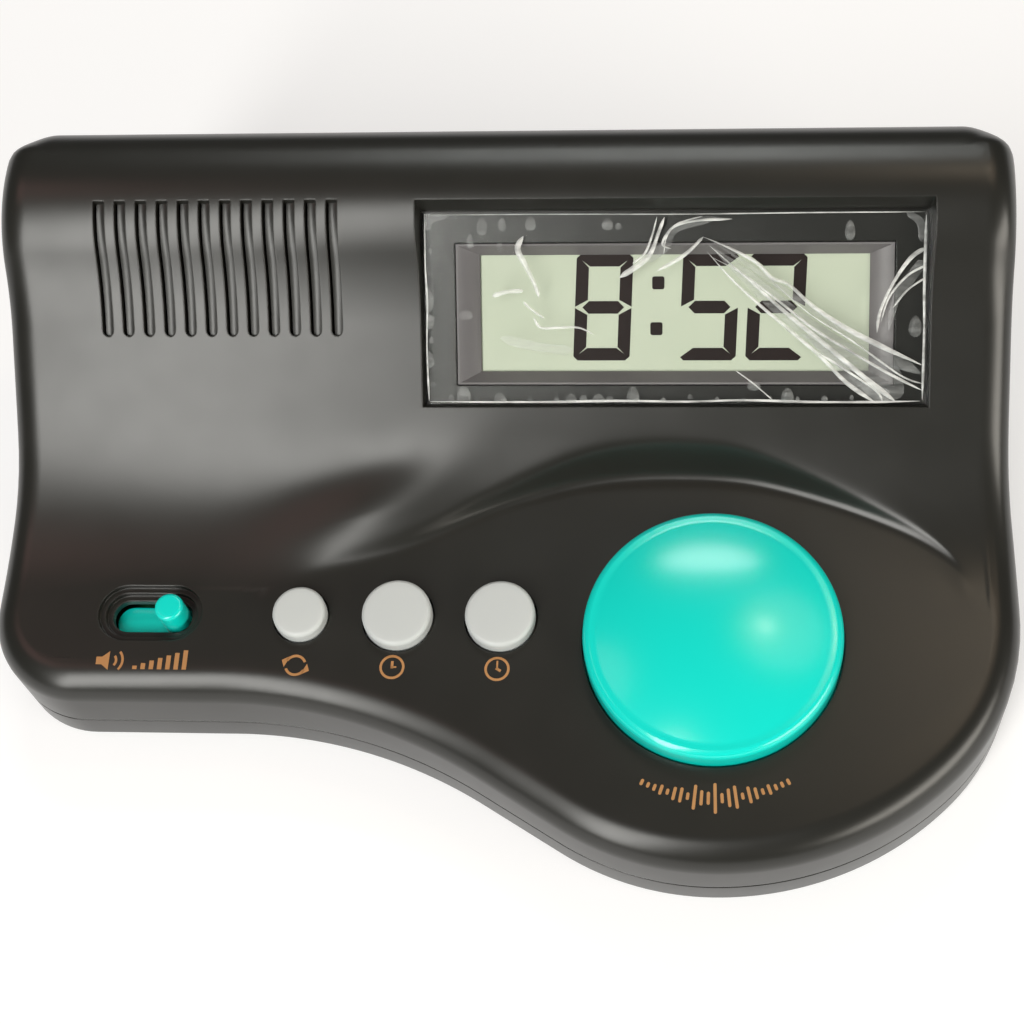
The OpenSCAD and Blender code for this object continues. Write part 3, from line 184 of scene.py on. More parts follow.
def edge_at(q):
    return edge_r + (back_edge_r - edge_r) * ease(0.2, 0.95, q[3])


def deck_z(y):
    return deck_h + (y - front_y) * tan(deck_slope)


y_heel = front_y + heel_y
z_heel = deck_z(y_heel)
y_flat = y_heel + heel_r * (sin(panel_slope) - sin(deck_slope))
z_flat = z_heel + heel_r * (cos(deck_slope) - cos(panel_slope))
y_roof = body_d / 2 - back_edge_r - roof_flat
y_crest = y_roof - crest_r * sin(brow_slope)
y_brow = y_crest - brow_r * (sin(brow_slope) - sin(panel_slope))
z_brow = z_flat + (y_brow - y_flat) * tan(panel_slope)
z_crest = z_brow + brow_r * (cos(panel_slope) - cos(brow_slope))
z_roof = z_crest + crest_r * (1 - cos(brow_slope))


def panel_z(y):
    def bowl(u):
        return np.sqrt(np.clip(1 - u * u, 0, 1))
    heel = z_heel + heel_r * (cos(deck_slope) - bowl((y - y_heel) / heel_r + sin(deck_slope)))
    flat = z_flat + (y - y_flat) * tan(panel_slope)
    brow = z_brow + brow_r * (cos(panel_slope) - bowl((y - y_brow) / brow_r + sin(panel_slope)))
    crest = z_crest + crest_r * (bowl(sin(brow_slope) - (y - y_crest) / crest_r) - cos(brow_slope))
    return np.select([y < y_heel, y < y_flat, y < y_brow, y < y_crest, y < y_roof],
                     [deck_z(y), heel, flat, brow, crest], z_roof)


# Foot of the cove: distances from the lobe's foremost point and from the heel
COVE = np.array([[-95, -6], [-80, -2.5], [-65, 1.1], [-45, 6.1], [-29, 13.2], [-17, 16.7],
                 [-5, 17.6], [7, 16.5], [23.5, 10.9], [33, 5.3], [38, -1.5], [44, -12]])
cove_step = np.diff(COVE[:, 1]) / np.diff(COVE[:, 0])
cove_slopes = np.concatenate([[cove_step[0]],
                              (COVE[2:, 1] - COVE[:-2, 1]) / (COVE[2:, 0] - COVE[:-2, 0]),
                              [cove_step[-1]]])


def cove_y(x):
    u = np.clip(x - lobe_x, COVE[0, 0], COVE[-1, 0] - 0.01)
    i = np.clip(np.searchsorted(COVE[:, 0], u, side="right") - 1, 0, len(COVE) - 2)
    h = COVE[i + 1, 0] - COVE[i, 0]
    t = (u - COVE[i, 0]) / h
    return (y_heel + (1 + 2 * t) * (1 - t) ** 2 * COVE[i, 1] + t * (1 - t) ** 2 * cove_slopes[i] * h
            + t * t * (3 - 2 * t) * COVE[i + 1, 1] + t * t * (t - 1) * cove_slopes[i + 1] * h)


def top_z(x, y, shift=0.0):
    x, y = np.asarray(x, float), np.asarray(y, float)
    foot = cove_y(x) + shift
    lean = np.arctan((cove_y(x + 1) - cove_y(x - 1)) / 2)
    face = cove_end_slope + (cove_slope - cove_end_slope) * ease(-58, -28, x - lobe_x)
    rise = (y - foot) * np.cos(lean) * np.tan(np.radians(face))
    cove = (rise + np.sqrt(rise * rise + cove_foot * cove_foot)) / 2
    ridge = (ridge_h * np.exp(-((x - lobe_x + 48) / 13) ** 2)
             * np.exp(-((y - foot - 5) / 5.5) ** 2))
    panel = panel_z(y) - deck_z(y) + np.where(y > y_heel, ridge, 0)
    soft = cove_lip * np.minimum(1, panel / 2.5)
    return deck_z(y) + (panel + cove - np.sqrt((panel - cove) ** 2 + soft * soft)) / 2


# Mesh helpers
def mesh(name, verts, faces, material=None, sharp=32):
    data = bpy.data.meshes.new(name)
    data.from_pydata([tuple(float(c) * MM for c in v) for v in verts], [], faces)
    data.validate()
    obj = bpy.data.objects.new(name, data)
    scene.collection.objects.link(obj)
    finish_mesh(obj, material, sharp)
    return obj


def finish_mesh(obj, material=None, sharp=32):
    data = obj.data
    bm = bmesh.new()
    bm.from_mesh(data)
    bmesh.ops.recalc_face_normals(bm, faces=bm.faces)
    bm.to_mesh(data)
    bm.free()
    for face in data.polygons:
        face.use_smooth = True
    data.set_sharp_from_angle(angle=rad(sharp))
    if material:
        data.materials.clear()
        data.materials.append(material)


def cut(obj, cutter, operation="DIFFERENCE"):
    modifier = obj.modifiers.new("cut", "BOOLEAN")
    modifier.operation = operation
    modifier.solver = "EXACT"
    modifier.object = cutter
    graph = bpy.context.evaluated_depsgraph_get()
    data = bpy.data.meshes.new_from_object(obj.evaluated_get(graph))
    obj.modifiers.clear()
    obj.data = data
    bpy.data.objects.remove(cutter)


def band_faces(n, bands, first=0):
    """Quads between rings of n points each."""
    return [(a + i, a + (i + 1) % n, a + n + (i + 1) % n, a + n + i)
            for a in range(first, first + n * bands, n) for i in range(n)]


def grid_faces(columns, rows, first=0):
    """Quads of a grid of points, row by row."""
    return [(a + i, a + i + 1, a + columns + i + 1, a + columns + i)
            for a in range(first, first + columns * (rows - 1), columns)
            for i in range(columns - 1)]


def rows_at(x, y0, y1, fine, shift):
    """Rows of the top surface at x: along the cove, then along the panel."""
    c = cove_y(x) + shift
    cove = c + np.linspace(-1.9, 5.2, 10 * fine)
    stops = [y_flat + 3, y_brow, y_crest, y_roof, y1]
    before = np.linspace(y0, cove[0], 2 * fine, endpoint=False)
    between = np.linspace(cove[-1], stops[0], 4 * fine)[1:-1]
    after = [np.linspace(a, b, n * fine, endpoint=False)
             for a, b, n in zip(stops, stops[1:], (1, 3, 6, 1))]
    return np.concatenate([before, cove, between, *after, [y1]])


def spread(t, k):
    return t - k * math.sin(2 * math.pi * t) / (2 * math.pi)


def wedge(name, inset, lower, z_base, columns, rings, fine, shift):
    """Closed solid under the top surface, moved in by inset and down by lower."""
    def ring_d(q):
        return max(edge_at(q) - inset, 0.8)

    def at_ring(s):
        q = rim(s)
        return inward(q, inset + ring_d(q))

    def table(a, b, axis):
        rows = sorted((rim(s)[axis], s) for s in np.linspace(a, b, 400))
        return np.array(rows).T

    def edge(a, b):
        rows = sorted(tuple(at_ring(s)) for s in np.linspace(a, b, 400))
        return np.array(rows).T

    front_edge, back_edge = edge(s_front, s_right), edge(s_back, s_left)
    fl, fr, br, bl = (at_ring(s) for s in (s_front, s_right, s_back, s_left))

    def columns_of(a, b, lookup):
        x0, x1 = rim(a)[0], rim(b)[0]
        inner = [np.interp(x0 + (x1 - x0) * spread(i / columns, 0.72), *lookup)
                 for i in range(1, columns)]
        return [a, *inner, b]
    front_s = columns_of(s_front, s_right, table(s_front, s_right, 0))
    back_s = columns_of(s_left, s_back, table(s_back, s_left, 0))
    left_y = rows_at(bl[0], fl[1], bl[1], fine, shift)
    right_y = rows_at(br[0], fr[1], br[1], fine, shift)
    rows = len(left_y) - 1

    def side(ys, low, high, a, b, lookup):
        near = min(8, (b - a) / 3)
        u = np.clip(1 - (ys - a) / near, 0, None)
        v = np.clip(1 - (b - ys) / near, 0, None)
        return np.interp(ys - (a - low) * u * u + (high - b) * v * v, *lookup)
    left_s = side(left_y[1:-1], rim(s_end)[1], rim(s_left)[1], fl[1], bl[1],
                  table(s_left, s_end, 1))
    right_s = side(right_y[1:-1], rim(s_right)[1], rim(s_back)[1], fr[1], br[1],
                   table(s_right, s_back, 1))
    loop = [*front_s, *right_s, *reversed(back_s), *reversed(left_s)]
    n = len(loop)
    qs = [rim(s) for s in loop]
    verts = [(*inward(q, inset), z_base) for q in qs]
    for k in range(rings + 1):
        a = 90 * k / rings
        for q in qs:
            r = ring_d(q)
            x, y = inward(q, inset + r * (1 - cos(a)))
            verts.append((x, y, float(top_z(x, y, shift)) - lower - r * (1 - sin(a))))
    last = n * (rings + 1)
    first_inner = last + n
    for j in range(1, rows):
        left, right = at_ring(left_s[j - 1]), at_ring(right_s[j - 1])
        xs = np.array([left[0] + (right[0] - left[0]) * spread(i / columns, 0.45)
                       for i in range(1, columns)])
        ys = np.array([rows_at(x, np.interp(x, *front_edge), np.interp(x, *back_edge),
                               fine, shift)[j] for x in xs])
        verts += list(zip(xs, ys, top_z(xs, ys, shift) - lower))

    def vid(i, j):
        if j == 0:
            return last + i
        if i == columns:
            return last + columns + j
        if j == rows:
            return last + columns + rows + (columns - i)
        if i == 0:
            return last + 2 * columns + rows + (rows - j)
        return first_inner + (j - 1) * (columns - 1) + i - 1
    faces = [tuple(reversed(range(n)))]
    for k in range(rings + 1):
        for i in range(n):
            a, b = k * n + i, k * n + (i + 1) % n
            faces += [(a, b, b + n), (a, b + n, a + n)]
    for j in range(rows):
        for i in range(columns):
            p, q, r, s = vid(i, j), vid(i + 1, j), vid(i + 1, j + 1), vid(i, j + 1)
            faces += [(p, q, r), (p, r, s)] if i < columns / 2 else [(p, q, s), (q, r, s)]
    return mesh(name, verts, faces)


def placed(points, matrix):
    return [tuple(matrix @ Vector(p)) for p in points]


def prism(name, outline, z0, z1, matrix=Matrix(), material=None):
    """Polygon between two heights."""
    n = len(outline)
    verts = [(x, y, z) for z in (z0, z1) for x, y in outline]
    faces = [tuple(reversed(range(n))), tuple(range(n, 2 * n)), *band_faces(n, 1)]
    return mesh(name, placed(verts, matrix), faces, material)


def rectangle(w, d, x=0.0, y=0.0, r=0.0, steps=6):
    if r == 0:
        return [(x - w / 2, y - d / 2), (x + w / 2, y - d / 2),
                (x + w / 2, y + d / 2), (x - w / 2, y + d / 2)]
    points = []
    for sx, sy, a0 in ((1, -1, -90), (1, 1, 0), (-1, 1, 90), (-1, -1, 180)):
        cx, cy = x + sx * (w / 2 - r), y + sy * (d / 2 - r)
        points += [(cx + r * cos(a0 + 90 * k / steps), cy + r * sin(a0 + 90 * k / steps))
                   for k in range(steps + 1)]
    return points


def circle(r, x=0.0, y=0.0, n=96):
    return [(x + r * math.cos(2 * math.pi * k / n), y + r * math.sin(2 * math.pi * k / n))
            for k in range(n)]


def lathe(name, profile, matrix, material, segments=128):
    """Turned solid from (r, z) points, which start and end on the axis."""
    verts, faces, rings = [], [], []
    for r, z in profile:
        if r < 1e-6:
            rings.append([len(verts)])
            verts.append((0, 0, z))
        else:
            rings.append(list(range(len(verts), len(verts) + segments)))
            verts += [(r * math.cos(2 * math.pi * k / segments),
                       r * math.sin(2 * math.pi * k / segments), z) for k in range(segments)]
    for a, b in zip(rings, rings[1:]):
        for k in range(segments):
            m = (k + 1) % segments
            corners = (a[k % len(a)], a[m % len(a)], b[m % len(b)], b[k % len(b)])
            face = tuple(dict.fromkeys(corners))
            if len(face) > 2:
                faces.append(face)
    return mesh(name, placed(verts, matrix), faces, material)


def arc(cx, cz, r, a0, a1, n):
    return [(cx + r * cos(a0 + (a1 - a0) * k / n), cz + r * sin(a0 + (a1 - a0) * k / n))
            for k in range(n + 1)]


def on_deck(x, y):
    return Matrix.Translation((x, y, deck_z(y))) @ Matrix.Rotation(rad(deck_slope), 4, "X")


display_x = body_w / 2 - display_in
on_display = (Matrix.Translation((display_x, y_flat + display_up * cos(panel_slope),
                                  z_flat + display_up * sin(panel_slope)))
              @ Matrix.Rotation(rad(panel_slope), 4, "X"))


# Materials
def material(name, color, roughness=0.5, metallic=0.0, **inputs):
    m = bpy.data.materials.new(name)
    m.use_nodes = True
    shader = m.node_tree.nodes["Principled BSDF"]
    shader.inputs["Base Color"].default_value = (*color, 1)
    shader.inputs["Roughness"].default_value = roughness
    shader.inputs["Metallic"].default_value = metallic
    for key, value in inputs.items():
        shader.inputs[key.replace("_", " ")].default_value = value
    return m


def node(m, kind, **values):
    n = m.node_tree.nodes.new(kind)
    for key, value in values.items():
        if key in n.inputs:
            n.inputs[key].default_value = value
        else:
            setattr(n, key, value)
    return n


def link(m, a, out, b, into):
    m.node_tree.links.new(a.outputs[out], b.inputs[into])


def shader_of(m):
    return m.node_tree.nodes["Principled BSDF"]


def spread_over(m, source, measured, wanted, into):
    """Brings a noise from one range of values to another, for one input of the shader."""
    span = node(m, "ShaderNodeMapRange")
    for key, value in zip(("From Min", "From Max", "To Min", "To Max"), (*measured, *wanted)):
        span.inputs[key].default_value = value
    link(m, source, "Fac", span, "Value")
    link(m, span, "Result", shader_of(m), into)


def textured(m, scale=900.0, bump=0.05, depth=0.00003, rough_range=None, tint=None, edge=None):
    """Fine grain as bump, and the same noise at a larger scale as roughness and tint."""
    where = node(m, "ShaderNodeTexCoord")

    def noise(coarser, detail=3.0):
        cloud = node(m, "ShaderNodeTexNoise", Scale=scale / coarser, Detail=detail)
        link(m, where, "Object", cloud, "Vector")
        return cloud

    grain = noise(1, 4.0)
    b = node(m, "ShaderNodeBump", Strength=bump, Distance=depth)
    link(m, grain, "Fac", b, "Height")
    link(m, b, "Normal", shader_of(m), "Normal")
    if edge:
        rounding = node(m, "ShaderNodeBevel", samples=6)
        rounding.inputs["Radius"].default_value = edge * MM
        link(m, rounding, "Normal", b, "Normal")
    if rough_range:
        spread_over(m, noise(14), (0, 1), rough_range, "Roughness")
    if tint:
        ramp = node(m, "ShaderNodeValToRGB")
        first, second = ramp.color_ramp.elements
        first.color = shader_of(m).inputs["Base Color"].default_value
        second.color = (*tint, 1)
        link(m, noise(30), "Fac", ramp, "Fac")
        link(m, ramp, "Color", shader_of(m), "Base Color")
    return m


def clear(name, ior, roughness, tint=(1, 1, 1)):
    """Thin clear plastic: what is behind it shows through, and its surface reflects."""
    m = bpy.data.materials.new(name)
    m.use_nodes = True
    m.node_tree.nodes.remove(shader_of(m))
    out = m.node_tree.nodes["Material Output"]
    through = node(m, "ShaderNodeBsdfTransparent", Color=(*tint, 1))
    gloss = node(m, "ShaderNodeBsdfGlossy", Roughness=roughness)
    fresnel = node(m, "ShaderNodeFresnel", IOR=ior)
    mix = node(m, "ShaderNodeMixShader")
    link(m, fresnel, "Fac", mix, "Fac")
    link(m, through, 0, mix, 1)
    link(m, gloss, 0, mix, 2)
    link(m, mix, 0, out, "Surface")
    return m


case_black = textured(material("case_black", (0.0135, 0.0138, 0.0115), 0.33),
                      scale=2600, bump=0.10, depth=0.00002, rough_range=(0.27, 0.33),
                      tint=(0.017, 0.0165, 0.014), edge=0.3)
teal = textured(material("button_teal", (0.003, 0.66, 0.57), 0.14, Coat_Weight=0.2,
                         Coat_Roughness=0.12),
                scale=300, bump=0.02, depth=0.0001, rough_range=(0.17, 0.24),
                tint=(0.004, 0.73, 0.63), edge=0.15)
key_grey = textured(material("key_grey", (0.52, 0.55, 0.55), 0.48),
                    scale=1800, bump=0.12, depth=0.00002, tint=(0.56, 0.59, 0.58), edge=0.15)
frame_grey = textured(material("frame_grey", (0.2, 0.19, 0.195), 0.4), scale=1500,
                      tint=(0.155, 0.14, 0.147), edge=0.1)
lcd_green = textured(material("lcd_green", (0.61, 0.68, 0.53), 0.55), scale=3000, bump=0.05,
                     depth=0.00001, tint=(0.66, 0.72, 0.58))
segment_dark = textured(material("segment_dark", (0.012, 0.006, 0.005), 0.5,
                                 Specular_IOR_Level=0.2), scale=2500, tint=(0.02, 0.010, 0.009))
gold = textured(material("mark_gold", (0.55, 0.27, 0.10), 0.42, 0.55), scale=4000, bump=0.2,
                depth=0.00001, tint=(0.62, 0.33, 0.14))
steel = textured(material("steel", (0.58, 0.58, 0.60), 0.3, 1.0), scale=900, bump=0.1,
                 rough_range=(0.25, 0.4))
board_green = textured(material("board_green", (0.02, 0.16, 0.06), 0.35), scale=500,
                       tint=(0.03, 0.2, 0.08))
cell_gold = textured(material("cell_gold", (0.50, 0.34, 0.10), 0.3, 0.6), scale=700,
                     tint=(0.55, 0.38, 0.13))
foot_rubber = textured(material("foot_rubber", (0.02, 0.02, 0.02), 0.8), scale=1200, bump=0.3,
                       tint=(0.03, 0.03, 0.03))
lens_clear = clear("lens_clear", 1.2, 0.04, (0.985, 0.99, 0.985))
film_clear = clear("film_clear", 1.27, 0.09)

# Plain materials: colour, roughness, scale and strength of the grain
PLAIN = {"dome_rubber": ((0.35, 0.35, 0.37), 0.6, 1200, 0.05),
         "dark_plastic": ((0.02, 0.02, 0.022), 0.5, 1200, 0.05),
         "cable_grey": ((0.35, 0.36, 0.38), 0.4, 800, 0.05),
         "zebra_pink": ((0.6, 0.25, 0.3), 0.6, 1500, 0.05),
         "capacitor_blue": ((0.02, 0.025, 0.12), 0.25, 900, 0.05),
         "wire_red": ((0.4, 0.02, 0.02), 0.35, 900, 0.05),
         "cloth_black": ((0.006, 0.006, 0.006), 0.9, 5000, 0.6),
         "cone_black": ((0.02, 0.02, 0.02), 0.7, 2500, 0.4)}
plain = {name: textured(material(name, color, roughness), scale=scale, bump=bump)
         for name, (color, roughness, scale, bump) in PLAIN.items()}
dark_plastic = plain["dark_plastic"]


def film_painted_light(name, color, alpha, roughness, stretch):
    """Painted light on folded or lifted film: pale, streaky and half clear, for the light that the
    folds and the lifted film reflect.
    """
    m = textured(material(name, color, roughness), scale=1500, bump=0.3, depth=0.00002)
    where = node(m, "ShaderNodeTexCoord")
    squeeze = node(m, "ShaderNodeMapping")
    squeeze.inputs["Rotation"].default_value = (0, 0, rad(40))
    squeeze.inputs["Scale"].default_value = (1, stretch, stretch)
    streaks = node(m, "ShaderNodeTexNoise", Scale=260.0, Detail=4.0)
    link(m, where, "Object", squeeze, "Vector")
    link(m, squeeze, "Vector", streaks, "Vector")
    spread_over(m, streaks, (0.3, 0.7), alpha, "Alpha")
    return m


# Painted highlight: the white of the folds stands for the light they catch
fold_painted_highlight = film_painted_light("fold_painted_highlight", (0.80, 0.82, 0.80), (0.35, 0.95), 0.25, 3.0)
# Painted reflection: the pale colour of lifted film and bubbles stands for light reflected where
# the film stands off the lens
lift_painted_reflection = film_painted_light("lift_painted_reflection", (0.72, 0.75, 0.74), (0.04, 0.24), 0.22, 5.0)

CAD_MATERIALS = {
    **plain, "steel": steel, "magnet_grey": steel, "board_green": board_green,
    "cell_gold": cell_gold, "foot_rubber": foot_rubber, "wire_black": dark_plastic,
    "epoxy_black": dark_plastic, "switch_grey": dark_plastic, "frame_grey": frame_grey,
    "lcd_green": lcd_green, "segment_dark": segment_dark, "button_teal": teal,
    "key_grey": key_grey, "case_black": case_black, "lens_clear": lens_clear,
    "film_clear": film_clear}
for part in frame["record"]["subparts"]:
    cad = frame["nodes"][part["node"]]
    cad.data.materials.clear()
    cad.data.materials.append(CAD_MATERIALS[part["material_slot"]])


# Upper shell
upper = wedge("upper_shell", 0, 0, seam_z, 150, 9, 3, 0)
hollow_shift = 1.2
hollow = wedge("hollow", wall, drop, seam_z - 1, 40, 3, 1, hollow_shift)
cut(upper, hollow)
seat_back, seat_front = -lens_sink - lens_t - 0.1 - 2.0, -1.2
seat = rectangle(lens_w + 4.6, lens_h + 6.6, 0, 0.9)
cut(upper, prism("lens_seat", seat, seat_back, seat_front, on_display), "UNION")

# Lens recess with leaning walls, the lens pocket and the window
recess_w, recess_h, recess_top, recess_n = lens_w + 0.6, lens_h + 0.4, 3.4, 4.0
low = rectangle(recess_w, recess_h)
side_x, foot_y = recess_w / 2 + recess_draft, -recess_h / 2 - 1.5 * recess_draft
head_y = recess_h / 2 + recess_top
high = [(-side_x, foot_y), (side_x, foot_y), (side_x, head_y), (-side_x, head_y)]
recess = mesh("recess", placed([(x, y, -lens_sink) for x, y in low]
                               + [(x, y, recess_n) for x, y in high], on_display),
              [(3, 2, 1, 0), (4, 5, 6, 7), *band_faces(4, 1)])
cut(upper, recess)
pocket_floor = -2.1
cut(upper, prism("pocket", rectangle(recess_w, recess_h), pocket_floor, -lens_sink + 0.01,
                 on_display))
cut(upper, prism("window", rectangle(window_w, window_h, 0, -lcd_down), -9, 0, on_display))

# Grille slots: round at the foot, square at the top
speaker_x = node_mid("speaker_frame")[0]
grille_y = y_brow + slot_len / 2 - 1.1


def slot_outline(x):
    foot = grille_y - slot_len / 2 + slot_w / 2
    top = grille_y + slot_len / 2
    half = [(x + slot_w / 2 * cos(a), foot + slot_w / 2 * sin(a)) for a in range(180, 361, 20)]
    return half + [(x + slot_w / 2, top), (x - slot_w / 2, top)]


slot_xs = [speaker_x + (i - (slot_count - 1) / 2) * slot_pitch for i in range(slot_count)]
for x in slot_xs:
    cut(upper, prism("slot", slot_outline(x), 20, 60))

# Button bores and the stepped volume recess
talk_at = (lobe_x, -body_d / 2 + 30.7)
key_y = front_y + 11.2
KEYS = {"mode_button": (left_x + 44, 7.4), "hour_button": (left_x + 57.5, 9.6),
        "minute_button": (left_x + 71.7, 9.6)}
on_talk = on_deck(*talk_at)
cut(upper, prism("bore", circle(talk_d / 2 + key_gap, n=160), -9, 11, on_talk))
for key, (x, d) in KEYS.items():
    cut(upper, prism("bore", circle(d / 2 + key_gap), -6, 4, on_deck(x, key_y)))
volume_x, volume_y = left_x + 22.7, key_y + 0.3
on_volume = on_deck(volume_x, volume_y)
volume_depths = (0.8, 1.6, 6.0)
for k, depth in enumerate(volume_depths):
    w, d = volume_w - 2 * k * volume_step, volume_h - 2 * k * volume_step
    cut(upper, prism("recess", rectangle(w, d, r=d / 2 - 0.001, steps=16), -depth, 4, on_volume))
finish_mesh(upper, case_black, sharp=30)

# Floors of the slots, sunk under the surface, with a slit along one side for the sound
verts, faces = [], []
ys = np.linspace(grille_y - slot_len / 2 - 0.3, grille_y + slot_len / 2 + 0.3, 30)
for x in slot_xs:
    first = len(verts)
    for y in ys:
        for u in np.linspace(-slot_w / 2 + 0.3, slot_w / 2 + 0.2, 5):
            dip = slot_depth + 0.12 * math.cos(4 * u / slot_w)
            verts.append((x + u, y, float(top_z(x + u, y)) - dip))
    faces += grid_faces(5, len(ys), first)
floors = mesh("slot_floors", verts, faces, case_black)
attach(floors, "case")

# Black cloth behind the slots, which follows the underside of the shell
cloth_w, cloth_d, cloth_gap = 38, 18, 0.35
cloth_x = np.linspace(speaker_x - cloth_w / 2, speaker_x + cloth_w / 2, 24)
cloth_y = np.linspace(grille_y - cloth_d / 2, grille_y + cloth_d / 2, 20)
verts = [(x, y, float(top_z(x, y, hollow_shift)) - drop - cloth_gap)
         for y in cloth_y for x in cloth_x]
cloth = mesh("grille_cloth", verts, grid_faces(24, 20), plain["cloth_black"])
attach(cloth, "case")
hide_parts("dust_cloth")
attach(upper, "case")
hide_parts("top_case")


# Lower shell
def stack(name, layers):
    """Closed solid from (inset, z) layers of the case outline, bottom to top."""
    around = [rim(s) for s in np.linspace(0, outline_len, 420, endpoint=False)]
    n = len(around)
    verts = [(*inward(q, inset), z) for inset, z in layers for q in around]
    top = n * (len(layers) - 1)
    faces = [tuple(reversed(range(n))), tuple(range(top, top + n))]
    return mesh(name, verts, faces + band_faces(n, len(layers) - 1))


floor_t, seat_gap = 2.0, 0.1
floor_top = foot_proud + floor_t
round_r, groove, groove_h = 0.9, 0.3, 0.35
door_w, door_d, door_gap = 54.4, 25.2, 0.3
bay_w, bay_d = door_w + 2 * door_gap, door_d + 2 * door_gap
bay_x, bay_y = node_mid("battery_door")[0], body_d / 2 - 27.3
hinge_r, pin_r, pin_reach, pin_gap = floor_t / 2, 0.5, 0.8, 0.1
bay_wall, bay_top = 1.4, base_high[2] - 1.4
rounding = [(round_r * (1 - sin(a)), foot_proud + round_r * (1 - cos(a)))
            for a in range(0, 91, 15)]
lower = stack("lower_shell", [*rounding, (0, seam_z - groove_h - 0.05),
                              (groove, seam_z - groove_h), (groove, seam_z)])
cut(lower, stack("inside", [(wall, floor_top), (wall, seam_z + 1)]))
cut(lower, prism("bay_block", rectangle(bay_w + 2 * bay_wall, bay_d + 2 * bay_wall, bay_x, bay_y),
                 floor_top - 0.5, bay_top + bay_wall), "UNION")
front_post_y = -body_d / 2 + 14.3
back_post_in = 7.0
SCREWS = [(left_x + 8.7, front_y + 28.9), (left_x + back_post_in, body_d / 2 - 8.8),
          (body_w / 2 - back_post_in, body_d / 2 - 8.8), (lobe_x + 22.6, front_post_y),
          (lobe_x - 21.4, front_post_y)]
FEET = [(left_x + 13, front_y + 10.5), (left_x + 22, body_d / 2 - 9),
        (body_w / 2 - 22, body_d / 2 - 9), (lobe_x + 2, -body_d / 2 + 9.5)]
column_r, column_top, well_r, well_top = 3.6, 8.2, 2.9, 5.5
foot_r, foot_sink = 4.6, 0.5
for x, y in SCREWS:
    cut(lower, prism("column", circle(column_r, x, y, 48), floor_top - 0.5, column_top), "UNION")
    cut(lower, prism("well", circle(well_r, x, y, 48), 0, well_top))
for x, y in FEET:
    cut(lower, prism("seat", circle(foot_r, x, y, 64), 0, foot_proud + foot_sink))
cut(lower, prism("bay", rectangle(bay_w, bay_d, bay_x, bay_y), 0, bay_top))
for x in (bay_x - bay_w / 2 + 2.4, bay_x + bay_w / 2 - 2.4):
    for y in (bay_y - bay_d / 2 + 0.8, bay_y + bay_d / 2 - 0.8):
        cut(lower, prism("stop", rectangle(5, 2, x, y), floor_top + seat_gap, floor_top + 1.3),
            "UNION")
socket_end = bay_w / 2 + pin_reach + pin_gap - door_gap
along_hinge = (Matrix.Translation((bay_x, bay_y + door_d / 2 - hinge_r, foot_proud + hinge_r))
               @ Matrix.Rotation(rad(90), 4, "Y"))
cut(lower, prism("sockets", circle(pin_r + pin_gap, n=32), -socket_end, socket_end, along_hinge))
finish_mesh(lower, case_black, sharp=30)
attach(lower, "case")
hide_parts("bottom_case")


# Display
lens = prism("lens", rectangle(lens_w, lens_h, r=0.6), -lens_sink - lens_t, -lens_sink - 0.02,
             on_display, lens_clear)
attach(lens, "case")
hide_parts("display_lens")

# Clear film: flat on the lens, loose in slow waves, with pulled creases and bubbles
film_w, film_h = lens_w - 0.3, lens_h - 0.3
film_z = -lens_sink + 0.03
rng = np.random.default_rng(7)


def film_grid(columns, rows):
    """The film's sheet, lifted in waves that are flat at the edges."""
    gx, gy = np.meshgrid(np.linspace(-film_w / 2, film_w / 2, columns),
                         np.linspace(-film_h / 2, film_h / 2, rows))
    rise = (0.03 * np.sin(gx * 0.31 + 1.3 * np.sin(gy * 0.25))
            + 0.025 * np.sin(gy * 0.6 + gx * 0.17) + 0.012 * np.sin(gx * 0.9 - gy * 0.7) + 0.06)
    rise *= (ease(3, 17, film_w / 2 + gx) * ease(0, 5, film_w / 2 - gx)
             * ease(0, 4, film_h / 2 - abs(gy)))
    return list(zip(gx.ravel(), gy.ravel(), film_z + rise.ravel())), grid_faces(columns, rows)


def smooth_line(points, steps=7):
    """Smooth curve through plan points."""
    p = [np.array(q, float) for q in (points[0], *points, points[-1])]
    line = []
    for a, b, c, d in zip(p, p[1:], p[2:], p[3:]):
        for k in range(steps):
            t = k / steps
            line.append(b + (c - a) * t / 2 + (2 * a - 5 * b + 4 * c - d) * t * t / 2
                        + (3 * b - a - 3 * c + d) * t ** 3 / 2)
    return line + [p[-1]]


def ribbons(name, rows, z, material):
    """Folds of the film: narrow tents along smooth lines, pointed at both ends.
    Each row is the points, the width at each end and the height of the fold."""
    verts, faces = [], []
    for points, w0, w1, height in rows:
        line = smooth_line(points)
        n, first = len(line), len(verts)
        for k, p in enumerate(line):
            t = k / (n - 1)
            ahead, behind = line[min(k + 1, n - 1)], line[max(k - 1, 0)]
            way = (ahead - behind) / max(np.linalg.norm(ahead - behind), 1e-6)
            across = np.array([-way[1], way[0]])
            taper = min(1, 0.12 + t / 0.15, 0.12 + (1 - t) / 0.12)
            half = (w0 + (w1 - w0) * t) / 2 * taper * (1 + 0.12 * math.sin(9 * t + w0 * 20))
            for u, up in ((-1, 0), (-0.45, 0.75), (0.1, 1), (0.6, 0.55), (1, 0)):
                x, y = p + across * half * u
                x = min(max(x, -film_w / 2), film_w / 2)
                y = min(max(y, -film_h / 2), film_h / 2)
                verts.append((x, y, z + height * up * taper))
        for k in range(n - 1):
            a = first + 5 * k
            faces += [(a + i, a + i + 5, a + i + 6, a + i + 1) for i in range(4)]
    return mesh(name, placed(verts, on_display), faces, material, sharp=180)
